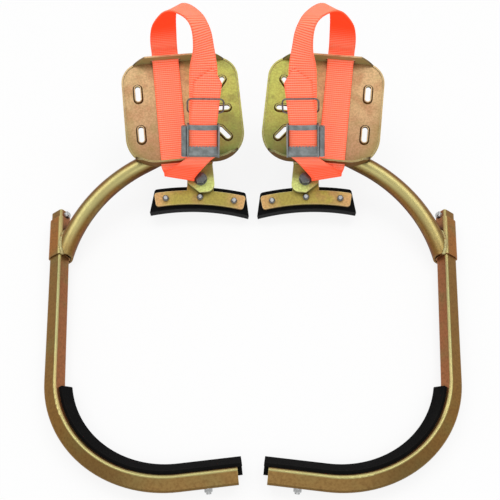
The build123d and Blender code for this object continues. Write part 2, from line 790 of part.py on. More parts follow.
with BuildPart() as buckle_jaw:
    jaw_half_width = ear_inner - jaw_side_gap
    jaw_lift = jaw_roll_radius - jaw_sheet
    jaw_reach = hypot(jaw_length, jaw_lift)
    jaw_drop = degrees(asin((jaw_pin_height - jaw_bite) / jaw_reach) + atan2(jaw_lift, jaw_length))
    jaw_flat = Plane(jaw_axis, x_dir=leg_plane.x_dir, z_dir=leg_plane.z_dir)
    jaw_plane = Plane(jaw_flat.location * Rot(-jaw_drop, 0, 0))
    tooth_pitch = 2 * jaw_half_width / jaw_teeth
    with BuildSketch(jaw_plane.offset(jaw_lift)):
        with BuildLine():
            teeth = [(-jaw_half_width, 0)]
            for tooth in range(jaw_teeth):
                start = -jaw_half_width + tooth * tooth_pitch
                teeth.append((start, jaw_length - jaw_tooth_depth))
                teeth.append((start + tooth_pitch / 2, jaw_length))
            teeth.append((jaw_half_width, jaw_length - jaw_tooth_depth))
            teeth.append((jaw_half_width, 0))
            Polyline(*teeth, close=True)
        make_face()
    extrude(amount=jaw_sheet)
    jaw_roll = Plane(jaw_axis, x_dir=leg_plane.y_dir, z_dir=leg_plane.x_dir)
    with BuildSketch(jaw_roll):
        Circle(jaw_roll_radius)
    extrude(amount=jaw_half_width, both=True)
    with BuildSketch(jaw_roll):
        Circle(jaw_pin_diameter / 2 + running_gap / 2)
    extrude(amount=jaw_half_width, both=True, mode=Mode.SUBTRACT)

# Wire loop round the webbing and its tail
with BuildPart() as wire_keeper:
    keeper_middle = leg_plane.from_local_coords((tail_shift / 2, keeper_from_buckle, layer_step / 2))
    loop_plane = Plane(
        Plane(keeper_middle, x_dir=leg_plane.x_dir, z_dir=leg_plane.y_dir).location * Rot(keeper_tilt, 0, 0)
    )
    loop_width = strap_width + tail_shift + 2 * keeper_room + keeper_wire
    for quarter in range(4):
        reach, run = (loop_width, keeper_height) if quarter % 2 == 0 else (keeper_height, loop_width)
        side_turn = loop_plane.location * Rot(0, 0, 90 * quarter)
        wire_start = Plane(side_turn * Pos(reach / 2, keeper_corner - run / 2, 0) * Rot(-90, 0, 0))
        wire_end = Plane(wire_start.location * Pos(0, 0, run - 2 * keeper_corner))
        corner_centre = wire_end.from_local_coords((-keeper_corner, 0, 0))
        with BuildSketch(wire_start):
            Circle(keeper_wire / 2)
        extrude(amount=run - 2 * keeper_corner)
        with BuildSketch(wire_end):
            Circle(keeper_wire / 2)
        revolve(axis=Axis(corner_centre, loop_plane.z_dir), revolution_arc=90)

# Set the left climber down, mirror it for the right one, and write every piece
pieces = {
    "foot_plate": foot_plate,
    "arm_tube": arm_tube,
    "hook_sleeve": hook_sleeve,
    "claw_bracket": claw_bracket,
    "hook_tube": hook_tube,
    "hook_pad": hook_pad,
    "pad_stud": pad_stud,
    "pad_washer": pad_washer,
    "pad_nut": pad_nut,
    "stop_bolt": stop_bolt,
    "stop_nut": stop_nut,
    "claw_plate": claw_plate,
    "claw_pad": claw_pad,
    "claw_bolts": claw_bolts,
    "claw_nuts": claw_nuts,
    "pivot_bolt": pivot_bolt,
    "pivot_washers": pivot_washers,
    "pivot_nut": pivot_nut,
    "strap": strap,
    "buckle_frame": buckle_frame,
    "buckle_jaw": buckle_jaw,
    "buckle_pin": buckle_pin,
    "wire_keeper": wire_keeper,
}
turned = [Rot(0, 0, toe_angle) * piece.part for piece in pieces.values()]
turned_box = Compound(children=turned).bounding_box()
pair_reach = turned_box.max.X + pair_gap / 2
stand = Pos(-pair_reach, -turned_box.center().Y, -turned_box.min.Z) * Rot(0, 0, toe_angle)

os.makedirs("parts", exist_ok=True)
for name, piece in pieces.items():
    left = stand * piece.part
    left.label = f"left_{name}"
    export_step(left, f"parts/left_{name}.step")
    right = mirror(left, about=Plane.YZ)
    right.label = f"right_{name}"
    export_step(right, f"parts/right_{name}.step")
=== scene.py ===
"""Dresses a pair of hook climbers with webbing, welds, stitches, threads, finishes and a studio."""

import json
from math import cos, pi, radians, sin

import bmesh
import bpy
import numpy as np
from bpy.props import FloatProperty, FloatVectorProperty, IntProperty, PointerProperty
from bpy.types import Operator, Panel, PropertyGroup
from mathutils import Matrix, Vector


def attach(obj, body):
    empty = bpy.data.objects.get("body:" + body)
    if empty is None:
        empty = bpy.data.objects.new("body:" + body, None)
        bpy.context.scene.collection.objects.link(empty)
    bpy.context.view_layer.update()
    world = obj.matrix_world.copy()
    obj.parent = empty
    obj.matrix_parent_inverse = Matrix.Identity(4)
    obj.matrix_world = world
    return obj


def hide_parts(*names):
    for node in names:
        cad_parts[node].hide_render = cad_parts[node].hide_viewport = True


bl_info = {
    "name": "Hook Climbers",
    "version": (1, 0, 0),
    "blender": (4, 5, 0),
    "location": "View3D > Sidebar > Climbers",
    "description": "Dresses a pair of hook climbers with webbing, welds, stitches and finishes",
    "category": "Object",
}

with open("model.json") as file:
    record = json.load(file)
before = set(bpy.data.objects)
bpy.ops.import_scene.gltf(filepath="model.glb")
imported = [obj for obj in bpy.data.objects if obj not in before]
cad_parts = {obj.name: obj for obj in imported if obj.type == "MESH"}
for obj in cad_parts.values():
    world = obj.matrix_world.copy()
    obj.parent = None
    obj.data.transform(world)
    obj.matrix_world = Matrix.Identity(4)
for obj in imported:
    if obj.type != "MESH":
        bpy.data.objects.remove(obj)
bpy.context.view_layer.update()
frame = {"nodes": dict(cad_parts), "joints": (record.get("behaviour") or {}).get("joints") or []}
JOINTS = {joint["name"]: joint for joint in frame["joints"]}
SIDES = ("left", "right")
MM = 0.001

# ---- Frames of the left climber, read from its joints; the right one is its mirror image ----

# Millimetres: the pivot from the plate's outer side and before its near edge, the plate's corner
# in the climber's frame, and the buckle's middle before and below its jaw's pin
PIVOT_X, PIVOT_BEFORE = 87.0, 20.5
CORNER_X, CORNER_Y, CORNER_Z = 89.0, 67.0, 55.7
PIN_BEFORE, PIN_ABOVE = 16.15, 7.2

UP = Vector((0.0, 0.0, 1.0))
ALONG = Vector(JOINTS["left_hook_slide"]["axis"]).normalized()
ACROSS = Vector((ALONG.y, -ALONG.x, 0.0))
TREAD_UP = Vector(JOINTS["left_claw_pivot"]["axis"]).normalized()
TREAD_DEEP = TREAD_UP.cross(ACROSS)
PIVOT = Vector(JOINTS["left_claw_pivot"]["pos_m"])
TREAD_CORNER = PIVOT - PIVOT_X * MM * ACROSS + PIVOT_BEFORE * MM * TREAD_DEEP
CLIMBER = TREAD_CORNER - MM * (CORNER_X * ACROSS + CORNER_Y * ALONG + CORNER_Z * UP)
LEG_ACROSS = Vector(JOINTS["left_jaw_pivot"]["axis"]).normalized()
LEG_ALONG = Vector(JOINTS["left_keeper_slide"]["axis"]).normalized()
LEG_UP = LEG_ACROSS.cross(LEG_ALONG)
JAW_PIN = Vector(JOINTS["left_jaw_pivot"]["pos_m"])
LEG = JAW_PIN + MM * (PIN_BEFORE * LEG_ALONG - PIN_ABOVE * LEG_UP)

# The square tube's height, turn about its own axis and lean of its upper corner, and the sleeve
TUBE_AXIS_HEIGHT, TUBE_TURN, TUBE_LEAN = 12.358, radians(33.0), radians(12.0)
BEND_CENTRE, BEND_RADIUS, HOOK_RUN = (124.0, -191.0), 124.0, 58.0
SLEEVE_FLAT, SLEEVE_CORNER, SLEEVE_HALF = 5.5, 4.75, 28.5
# The arm's end under the plate, its angle there, and its other end at the sleeve
ARM_X, ARM_DEEP, ARM_RADIUS, ARM_ANGLE = 16.5, 7.2, 11.0, radians(23.1)
ARM_END, PLATE_SHEET = (0.0, -44.8, 7.0), 2.0


def on_climber(x, y, z):
    """Place of a point in the climber's own frame, in millimetres."""
    return CLIMBER + MM * (x * ACROSS + y * ALONG + z * UP)


def on_tread(x, deep, high):
    """Place on the foot plate, in millimetres from its outer side, near edge and face."""
    return TREAD_CORNER + MM * (x * ACROSS + deep * TREAD_DEEP + high * TREAD_UP)


def on_leg(x, y, high):
    """Place on the buckle's leg of the strap, in millimetres from the buckle's middle."""
    return LEG + MM * (x * LEG_ACROSS + y * LEG_ALONG + high * LEG_UP)


def turned_on_tread(turn, droop):
    """Width direction turned from straight across the plate and drooping at its far edge."""
    flat = cos(radians(turn)) * ACROSS + sin(radians(turn)) * TREAD_DEEP
    return cos(radians(droop)) * flat - sin(radians(droop)) * TREAD_UP


def to_side(point, side):
    """The same point on the left or the mirrored right climber."""
    return Vector((point.x if side == "left" else -point.x, point.y, point.z))


def smooth_step(value):
    """Eases a share from 0 to 1."""
    value = min(max(value, 0.0), 1.0)
    return value * value * (3.0 - 2.0 * value)


# ---- Settings ----


def amount(name, about, default, unit="LENGTH"):
    """A number, by default a length in metres."""
    return FloatProperty(name=name, description=about, default=default, unit=unit)


def tone(name, about, default):
    """A colour."""
    return FloatVectorProperty(name=name, description=about, default=default, subtype="COLOR")


class StrapSettings(PropertyGroup):
    """Sizes and colours of the boot straps."""

    width: amount("Width", "Width of the webbing", 0.033)
    thickness: amount("Thickness", "Thickness of the webbing", 0.0021)
    row_step: amount("Row step", "Distance between the rows of the mesh", 0.0012)
    rib_pitch: amount("Rib pitch", "Distance between the ribs of the weave", 0.0027)
    yarn_pitch: amount("Yarn pitch", "Distance between the yarns along the webbing", 0.0026)
    lit_colour: tone("Yarn", "Colour of the yarn", (1.0, 0.325, 0.23))
    # Between the ribs the colour is deeper: painted shade in the grooves; the webbing's edge bands
    # take it too.
    groove_colour: tone("Groove", "Colour between the ribs", (0.88, 0.115, 0.052))


class WeldSettings(PropertyGroup):
    """Sizes of the weld beads."""

    radius: amount("Radius", "Radius of a bead", 0.0024)
    spacing: amount("Spacing", "Distance between the scales of a bead", 0.0017)
    seed: IntProperty(name="Seed", description="Seed for the uneven scales", default=7)


class StitchSettings(PropertyGroup):
    """Sizes of the stitches that close the strap's loop round the buckle."""

    length: amount("Length", "Length of a stitch", 0.0027)
    spacing: amount("Spacing", "Distance between stitches", 0.0034)
    thread: amount("Thread", "Radius of the thread", 0.0004)


class ThreadSettings(PropertyGroup):
    """Sizes of the ridges on the bolts' bare ends."""

    pitch: amount("Pitch", "Distance between ridges", 0.0007)
    ridge: amount("Ridge", "Radius of a ridge", 0.00026)


class FinishSettings(PropertyGroup):
    """Colours of the metal and the rubber."""

    # The near tones are darker than the far ones: painted shade towards the plate's near edge.
    outer_far: tone("Outer far", "Plate's outer side, by its far edge", (0.68, 0.46, 0.245))
    outer_near: tone("Outer near", "Plate's outer side, by its near edge", (0.46, 0.245, 0.135))
    inner_far: tone("Inner far", "Plate's inner side, by its far edge", (0.56, 0.60, 0.14))
    inner_near: tone("Inner near", "Plate's inner side, by its near edge", (0.07, 0.135, 0.045))
    claw_gold: tone("Claw", "Plating of the claw", (0.50, 0.415, 0.092))
    claw_olive: tone("Claw shade", "Plating of the claw by its inner end", (0.46, 0.375, 0.09))
    bracket: tone("Bracket", "Plating of the claw's bracket", (0.74, 0.82, 0.27))
    # Painted shade, laid in corners and hollows, under rims and on down-turned faces.
    plate_dark: tone("Shade", "Plating in corners and under rims", (0.075, 0.026, 0.007))
    tube_gold: tone("Tube", "Plating of the tubes", (0.30, 0.155, 0.04))
    tube_brown: tone("Tube shade", "Redder plating of the tubes", (0.38, 0.145, 0.055))
    # Painted shade along the arm's flanks.
    arm_red: tone("Arm shade", "Plating along the arm's flanks", (0.20, 0.07, 0.02))
    sleeve_red: tone("Sleeve", "Plating of the sleeve", (0.42, 0.165, 0.036))
    # Painted highlight along the tubes' crowns.
    tube_pale: tone("Tube crown", "Plating along the tubes' crowns", (0.60, 0.57, 0.24))
    zinc: tone("Zinc", "Bright zinc of the fasteners", (0.48, 0.49, 0.49))
    slate: tone("Slate", "Plating of the buckle", (0.27, 0.30, 0.30))
    rubber: tone("Rubber", "Moulded rubber", (0.0032, 0.0032, 0.0034))


class StudioSettings(PropertyGroup):
    """Camera and light."""

    lens: amount("Lens", "Focal length in millimetres on a 36 mm sensor", 54.72, "NONE")
    side_power: amount("Sides", "Power of each side light", 4.2, "POWER")
    front_power: amount("Front", "Power of the front light", 3.6, "POWER")
    sky: amount("Sky", "Strength of the surrounding light", 0.68, "NONE")


# ---- Node trees ----


def overload(operation, swapped=False):
    """A method that adds one Math node for a Python operator."""

    def method(self, other):
        return self.tree.math(operation, *((other, self) if swapped else (self, other)))

    return method


class Value:
    """A node's output, on which plain sums add Math nodes and brackets read its other outputs."""

    def __init__(self, tree, socket):
        self.tree = tree
        self.socket = socket

    __add__ = __radd__ = overload("ADD")
    __mul__ = __rmul__ = overload("MULTIPLY")
    __sub__, __rsub__ = overload("SUBTRACT"), overload("SUBTRACT", True)
    __truediv__, __rtruediv__ = overload("DIVIDE"), overload("DIVIDE", True)
    __pow__, __rpow__ = overload("POWER"), overload("POWER", True)
    at_least, at_most = overload("MAXIMUM"), overload("MINIMUM")

    def __abs__(self):
        return self.tree.math("ABSOLUTE", self)

    def __getitem__(self, key):
        return Value(self.tree, self.socket.node.outputs[key])

    def wave(self):
        """Sine of the value, brought between 0 and 1."""
        return self.tree.math("SINE", self) * 0.5 + 0.5

    def between(self, low, high):
        """0 below the low mark, 1 above the high mark, eased between."""
        inputs = {"Value": self, "From Min": low, "From Max": high}
        return self.tree.node("ShaderNodeMapRange", inputs, interpolation_type="SMOOTHSTEP")


class Tree:
    """A node tree under construction."""

    def node(self, kind, inputs=None, **settings):
        """First output of a new node: its type, its sockets' values or links, its settings."""
        node = self.tree.nodes.new(kind)
        for key, value in settings.items():
            setattr(node, key, value)
        for key, value in (inputs or {}).items():
            self.feed(node.inputs[key], value)
        return Value(self, next(iter(node.outputs), None))

    def feed(self, socket, value):
        """Links a value to a socket, or sets a plain number, colour or vector on it."""
        if isinstance(value, Value):
            self.tree.links.new(value.socket, socket)
        elif hasattr(value, "__len__") and len(value) == 3 and len(socket.default_value) == 4:
            socket.default_value = (*value, 1.0)
        else:
            socket.default_value = value

    def math(self, operation, *values):
        """One Math node."""
        return self.node("ShaderNodeMath", dict(enumerate(values)), operation=operation)


class Finish(Tree):
    """A material with one surface shader."""

    def __init__(self, name):
        self.material = bpy.data.materials.new(name)
        self.material.use_nodes = True
        self.tree = self.material.node_tree
        self.shader = self.tree.nodes["Principled BSDF"]

    def place(self):
        """Object coordinates, which are the scene's own because each piece sits at the origin."""
        return self.node("ShaderNodeTexCoord")["Object"]

    def facing(self):
        """Direction that the surface looks in."""
        return self.node("ShaderNodeNewGeometry")["Normal"]

    def marked(self, name):
        """A number that the mesh carries at its vertices."""
        return self.node("ShaderNodeAttribute", attribute_name=name)["Fac"]

    def split(self, vector):
        """The three parts of a vector."""
        parts = self.node("ShaderNodeSeparateXYZ", {"Vector": vector})
        return [parts[axis] for axis in "XYZ"]

    def dot(self, first, second):
        """Dot product of two vectors."""
        inputs = {0: first, 1: second}
        return self.node("ShaderNodeVectorMath", inputs, operation="DOT_PRODUCT")["Value"]

    def noise(self, scale, detail=3.0, rough=0.6):
        """Cloudy noise from 0 to 1, by one scale or by one for each axis."""
        place = self.place()
        if isinstance(scale, tuple):
            inputs = {"Vector": place, "Scale": scale}
            place, scale = self.node("ShaderNodeMapping", inputs), 1.0
        inputs = {"Vector": place, "Scale": scale, "Detail": detail, "Roughness": rough}
        return self.node("ShaderNodeTexNoise", inputs)["Fac"]

    def layered(self, base, *layers):
        """A colour with others laid over it in turn, each by its share."""
        for share, colour in layers:
            inputs = {0: share, 6: base, 7: colour}
            base = self.node("ShaderNodeMix", inputs, data_type="RGBA")[2]
        return base

    def worn_edge(self, radius):
        """1 along outer and inner edges, 0 on flat faces."""
        soft = self.node("ShaderNodeBevel", {"Radius": radius}, samples=6)
        return (1.0 - self.dot(soft, self.facing())).between(0.01, 0.12)

    def hollow(self, distance):
        """1 in corners and crevices, where painted shade is laid, 0 on open faces."""
        open_air = self.node("ShaderNodeAmbientOcclusion", {"Distance": distance}, samples=6)["AO"]
        return (1.0 - open_air).between(0.25, 0.85)

    def turned_down(self):
        """1 on faces that look down, 0 on faces that look up."""
        _, _, facing = self.split(self.facing())
        return (0.0 - facing).between(-0.12, 0.42)

    def bump(self, height, distance, strength):
        """Feeds the shader's normal from a height of 0 to 1 times the distance in metres."""
        inputs = {"Height": height, "Distance": distance, "Strength": strength}
        self.surface(normal=self.node("ShaderNodeBump", inputs))

    def surface(self, **inputs):
        """Sets or links the shader's inputs, named in lower case with underscores."""
        for key, value in inputs.items():
            label = key.replace("_", " ").title().replace("Ior", "IOR")
            self.feed(self.shader.inputs[label], value)
        return self.material


def scaled(colour, share):
    """A darker or paler shade of a colour."""
    return tuple(min(1.0, part * share) for part in colour)


# ---- Finishes ----

# Directions that the plate's face and its walls' front look in, and that the arm's painted
# highlight faces
TREAD_FACE, TREAD_FRONT = (0.0, -0.42, 0.907), (0.0, -0.907, -0.42)
CROWN_UP, CROWN_FRONT = 0.785, 0.62

# Places in the scene, in metres. In front of PLATE_NEAR lie the claw and its bracket.
PLATE_NEAR, FAR_WALL = 0.112, 0.2
PLATE_X, PLATE_Y, PLATE_HALF_X, PLATE_HALF_Y = 0.08, 0.19, 0.073, 0.068
PLATE_LEAN, PLATE_LEAN_FROM = 0.12, 0.122
CLAW_X = 0.0645
SLOTS_NEAR, SLOTS_FAR = 0.008, 0.14
# Marks along y: where the arm's painted highlight starts to fade, where the hook's lower run turns
# duller, and where the hook's painted highlight turns green
CROWN_FADES, HOOK_DULLS, GREEN_FROM, GREEN_TO = 0.012, -0.19, -0.16, 0.015

# Tones of clouds, specks and edges, and of painted shade and painted light, besides those in the
# settings
SHEET_ROSY, SHEET_GREEN, SHEET_SPECK = (0.50, 0.24, 0.12), (0.27, 0.27, 0.085), (0.22, 0.15, 0.05)
SHEET_RIM_SHADE, SHEET_EDGE, CLAW_ENDS = (0.29, 0.27, 0.085), (0.80, 0.72, 0.42), (0.78, 0.44, 0.2)
SLOT_WALL_SHADE, WALL_FRONT_SHADE, WALL_LIP_LIGHT = (0.06, 0.026, 0.007), (0.20, 0.085, 0.016), (0.42, 0.40, 0.165)
TUBE_OLIVE, TUBE_DULL, TUBE_SPECK = (0.25, 0.20, 0.062), (0.15, 0.105, 0.04), (0.13, 0.06, 0.018)
TUBE_GREEN_HIGHLIGHT, TUBE_EDGE, WELD_PALE = (0.43, 0.50, 0.24), (0.66, 0.58, 0.30), (0.55, 0.50, 0.24)
ZINC_EDGE, SLATE_EDGE, SLATE_SHADE = (0.86, 0.87, 0.87), (0.56, 0.58, 0.60), (0.02, 0.022, 0.027)
RUBBER_DUST, RUBBER_EDGE = (0.009, 0.0088, 0.0082), (0.022, 0.021, 0.019)
YARN_FUZZ, YARN_FADED, YARN_GLOW = (1.0, 0.33, 0.19), (0.97, 0.27, 0.15), (1.0, 0.15, 0.055)
YARN_SHADE_GLOW, YARN_MELTED, YARN_BLEED = (1.0, 0.032, 0.004), (0.72, 0.07, 0.03), (1.0, 0.25, 0.12)
THREAD_DARK, THREAD_LIT = (0.55, 0.06, 0.025), (0.95, 0.28, 0.15)


def plated_sheet(look, name, tones):
    """Yellow chromate on plate, from outer far, outer near, inner far and inner near tones."""
    finish = Finish(name)
    face = finish.facing()
    x, y, z = finish.split(finish.place())
    aside = abs(x)
    deep = (y - TREAD_CORNER.y) * TREAD_DEEP.y + (z - TREAD_CORNER.z) * TREAD_DEEP.z
    deep = deep - (aside + TREAD_CORNER.x) * TREAD_DEEP.x
    clouds = finish.noise(24.0, 4.0, 0.6)
    speckle = finish.noise(420.0, 3.0, 0.65)
    grain = finish.noise((60.0, 900.0, 900.0))
    drift = clouds - 0.5
    outer = (aside + drift * 0.05).between(0.038, 0.096)
    far = (y + drift * 0.07).between(0.12, 0.22)
    plate = (y - PLATE_NEAR).between(0.0, 0.008)
    outer_far, outer_near, inner_far, inner_near = tones
    rosy = finish.noise(46.0, 2.0, 0.5).between(0.46, 0.66) * (0.15 + outer * 0.4)
    green = finish.noise(58.0, 3.0, 0.55).between(0.5, 0.7) * (0.6 - outer * 0.35)
    rim_x = abs(aside - PLATE_X - (y - PLATE_LEAN_FROM) * PLATE_LEAN) / PLATE_HALF_X
    rim = rim_x**4.0 + (abs(y - PLATE_Y) / PLATE_HALF_Y) ** 4.0 + drift * 0.6
    ends = (abs(aside - CLAW_X) + drift * 0.03).between(0.03, 0.052)
    upright = (1.0 - finish.dot(face, TREAD_FACE)).between(0.06, 0.26)
    front = finish.dot(face, TREAD_FRONT).between(0.5, 0.8)
    # Painted light: the far wall's front face is made paler, and painted shade is kept off it.
    lit_lip = front * (y - FAR_WALL).between(0.0, 0.03)
    slots = (deep - SLOTS_NEAR).between(0.0, 0.004) * (SLOTS_FAR - deep).between(0.0, 0.004)
    down = finish.turned_down() * (1.0 - lit_lip)
    base = finish.layered(
        # Painted shade: darker towards the plate's near edge.
        finish.layered(inner_near, (far, inner_far)),
        (outer, finish.layered(outer_near, (far, outer_far))),
        (rosy, SHEET_ROSY),
        # Painted shade: darker olive towards the plate's rims, strongest by its near edge.
        (rim.between(0.35, 1.1) * (0.75 - far * 0.6) * plate, SHEET_RIM_SHADE),
        (green * (0.3 + plate * 0.7), SHEET_GREEN),
        (ends * (1.0 - plate) * 0.8, CLAW_ENDS),
        (speckle.between(0.36, 0.66) * 0.36, SHEET_SPECK),
        # Pale edges: wear, and a painted highlight along them.
        (finish.worn_edge(0.0012) * 0.6, SHEET_EDGE),
        # Painted shade on the slots' walls.
        (upright * slots * 0.9, SLOT_WALL_SHADE),
        # Painted shade on down-turned faces.
        (down * 0.5, look.plate_dark),
        # Painted shade on the near wall's front face.
        (front * (1.0 - lit_lip) * plate * 0.7, WALL_FRONT_SHADE),
        # Painted shade in corners and hollows.
        (finish.hollow(0.012) * (1.0 - lit_lip * 0.7), look.plate_dark),
        (lit_lip * 0.8, WALL_LIP_LIGHT),
    )
    finish.bump(speckle * 0.6 + grain * 0.4, 0.00012, 0.5)
    return finish.surface(
        base_color=base,
        metallic=0.8 - down * 0.6 - lit_lip * 0.6,
        roughness=0.36 + speckle * 0.16 + grain * 0.08 + down * 0.3,
        specular_ior_level=0.2,
    )


def round_crown(finish):
    """Shares of a round tube for painted shade along its flanks and for a painted highlight along
    its crown.
    """
    _, facing_y, facing_z = finish.split(finish.facing())
    _, y, _ = finish.split(finish.place())
    level = facing_z * CROWN_UP - facing_y * CROWN_FRONT
    fading = (y - CROWN_FADES).between(0.0, 0.04) * 0.75 + 0.25
    return 0.3 - level.between(0.25, 0.8) * 0.6, level.between(0.7, 0.98) * fading


def square_crown(finish):
    """Shares of a square tube that look to the inside of the bend, and of a painted highlight along
    its upper corner.
    """
    x, y, _ = finish.split(finish.place())
    facing_x, facing_y, facing_z = finish.split(finish.facing())
    middle, tiny = on_climber(*BEND_CENTRE, 0.0), 1e-6
    to_x = (abs(x) + middle.x).at_least(0.0)
    to_y = (middle.y - y).at_least(0.0)
    reach = (to_x * to_x + to_y * to_y + tiny) ** 0.5
    mirrored = facing_x * x / (abs(x) + tiny) * -1.0
    inward = (mirrored * to_x + facing_y * to_y) / reach
    crown = (inward * sin(TUBE_LEAN) + facing_z * cos(TUBE_LEAN)).between(0.73, 0.95)
    return inward, crown


def plated_tube(look, name, outer, inner, crown):
    """Yellow chromate on tube: an outer and an inner tone, a painted highlight along the crown, and
    painted shade on undersides and in hollows.
    """
    finish = Finish(name)
    _, y, _ = finish.split(finish.place())
    clouds = finish.noise(22.0, 3.0, 0.55)
    speckle = finish.noise(380.0)
    inward, top = crown(finish)
    green = (y - GREEN_FROM).between(0.0, 0.08) * (GREEN_TO - y).between(0.0, 0.02) * 0.7
    down = finish.turned_down()
    base = finish.layered(
        outer,
        ((inward + (clouds - 0.5) * 0.5).between(-0.3, 0.3), inner),
        (finish.noise(33.0, 2.0, 0.5).between(0.46, 0.7) * 0.55, TUBE_OLIVE),
        ((HOOK_DULLS - y).between(0.0, 0.07) * 0.6, TUBE_DULL),
        (speckle.between(0.4, 0.7) * 0.4, TUBE_SPECK),
        # Painted highlight along the crown, greener on the hook.
        (top * (0.45 + clouds * 0.5), finish.layered(look.tube_pale, (green, TUBE_GREEN_HIGHLIGHT))),
        (finish.worn_edge(0.0009) * 0.3, TUBE_EDGE),
        # Painted shade on down-turned faces and in hollows.
        (down * 0.6, look.plate_dark),
        (finish.hollow(0.009), look.plate_dark),
    )
    finish.bump(speckle, 0.0001, 0.5)
    return finish.surface(
        base_color=base,
        metallic=0.82 - down * 0.6,
        roughness=0.26 + speckle * 0.18 + clouds * 0.06 + down * 0.3,
        specular_ior_level=0.2,
    )


def weld_metal(look):
    """Plated weld metal: brown scales clouded paler, with painted shade in their hollows."""
    finish = Finish("Weld bead")
    clouds = finish.noise(90.0)
    base = finish.layered(
        look.tube_gold,
        (clouds.between(0.35, 0.65), WELD_PALE),
        (finish.hollow(0.003) * 0.8, look.plate_dark),
    )
    finish.bump(finish.noise(900.0), 0.0001, 0.6)
    return finish.surface(base_color=base, metallic=0.75, roughness=0.32 + clouds * 0.2)


def bright_zinc(name, colour):
    """Zinc on the fasteners, faintly clouded, with painted shade in corners."""
    finish = Finish(name)
    clouds = finish.noise(160.0)
    turned = finish.noise((1400.0, 1400.0, 120.0), 2.0, 0.5)
    base = finish.layered(
        colour,
        (clouds.between(0.35, 0.7), scaled(colour, 1.3)),
        (finish.worn_edge(0.0005) * 0.6, ZINC_EDGE),
        (finish.hollow(0.003) * 0.7, scaled(colour, 0.22)),
    )
    finish.bump(turned, 0.00005, 0.4)
    return finish.surface(base_color=base, metallic=0.95, roughness=0.2 + clouds * 0.18)


def buckle_plate(look):
    """Slate plating of the buckle, rubbed pale on its edges, with painted shade in its hollows."""
    finish = Finish("Slate buckle plate")
    clouds = finish.noise(120.0, 4.0, 0.6)
    base = finish.layered(
        scaled(look.slate, 0.62),
        (clouds.between(0.35, 0.68), look.slate),
        (finish.worn_edge(0.0007) * 0.7, SLATE_EDGE),
        (finish.hollow(0.004) * 0.8, SLATE_SHADE),
    )
    finish.bump(finish.noise(900.0, 2.0, 0.5), 0.00008, 0.5)
    return finish.surface(base_color=base, metallic=0.55, roughness=0.34 + clouds * 0.16)


def black_rubber(look):
    """Moulded rubber: near black with a fine grain, a little dust and a grey bloom on its edges."""
    finish = Finish("Black rubber")
    grain = finish.noise(1500.0, 2.0, 0.6)
    dust = finish.noise(70.0, 4.0, 0.65)
    base = finish.layered(
        look.rubber,
        (dust.between(0.45, 0.75) * 0.5, RUBBER_DUST),
        (finish.worn_edge(0.0014) * 0.3, RUBBER_EDGE),
    )
    finish.bump(grain * 0.7 + dust * 0.3, 0.00025, 0.6)
    rough = 0.56 + grain * 0.16 + dust * 0.1
    return finish.surface(base_color=base, roughness=rough, specular_ior_level=0.07)


def ribbed_webbing(strap):
    """Ribbed nylon webbing: ribs across, yarns along, closed edges and a melted tail; painted shade
    in the grooves and a painted red glow.
    """
    finish = Finish("Ribbed webbing")
    across, along, _ = finish.split(finish.node("ShaderNodeUVMap", uv_map="webbing"))
    uneven = finish.noise(240.0, 2.0, 0.5)
    ribs = (along * (2.0 * pi / strap.rib_pitch) + (uneven - 0.5) * 1.1).wave()
    yarns = (across * (2.0 * pi / strap.yarn_pitch) + ribs * 2.2).wave()
    fibre = finish.noise(2600.0, 2.0, 0.6)
    half = strap.width / 2.0
    selvage = abs(across).between(half - 0.0021, half - 0.0012)
    weave = ribs * (0.5 + yarns * 0.5)
    shaded, sealed = finish.marked("shaded"), finish.marked("sealed")
    base = finish.layered(
        # Painted shade in the grooves between the ribs, under the lit yarn on their crowns.
        strap.groove_colour,
        (weave.between(0.02, 0.55), strap.lit_colour),
        ((fibre - 0.5).between(0.0, 0.22) * 0.22, YARN_FUZZ),
        (finish.noise(34.0, 3.0, 0.55).between(0.5, 0.78) * 0.22, YARN_FADED),
        (selvage * 0.45, strap.groove_colour),
        # Painted shade and glow: deeper red where the arch's inner face and the fold lie in shade.
        (shaded, YARN_SHADE_GLOW),
        (sealed * 0.5, YARN_MELTED),
    )
    finish.bump(weave * (1.0 - selvage * 0.6) + fibre * 0.18 - sealed * 0.5, 0.00032, 0.85)
    return finish.surface(
        base_color=base,
        roughness=0.82 - ribs * 0.1 - sealed * 0.35,
        specular_ior_level=0.0,
        # Painted light: the webbing glows red, lifting it where it lies in shade.
        emission_color=YARN_GLOW,
        emission_strength=0.3,
        subsurface_weight=0.3,
        subsurface_radius=YARN_BLEED,
        subsurface_scale=0.0025,
    )


def sewing_thread():
    """Twisted sewing thread, a shade deeper than the webbing."""
    finish = Finish("Sewing thread")
    x, y, z = finish.split(finish.place())
    twist = ((x + y + z) * 9000.0).wave()
    finish.bump(twist, 0.00008, 0.6)
    # Painted light and shade along the twist.
    base = finish.layered(THREAD_DARK, (twist, THREAD_LIT))
    return finish.surface(base_color=base, roughness=0.6 + twist * 0.15)


# ---- Mesh helpers ----


def new_piece(name, mesh, material):
    """A finished piece at the origin, with one material."""
    piece = bpy.data.objects.new(name, mesh)
    bpy.context.scene.collection.objects.link(piece)
    mesh.materials.clear()
    mesh.materials.append(material)
    return piece


def cubic(t, start, leaving, end, arriving):
    """Point at a share of a smooth step between two points, with the slopes at both."""
    return (
        (2 * t**3 - 3 * t**2 + 1) * start
        + (t**3 - 2 * t**2 + t) * leaving
        + (3 * t**2 - 2 * t**3) * end
        + (t**3 - t**2) * arriving
    )


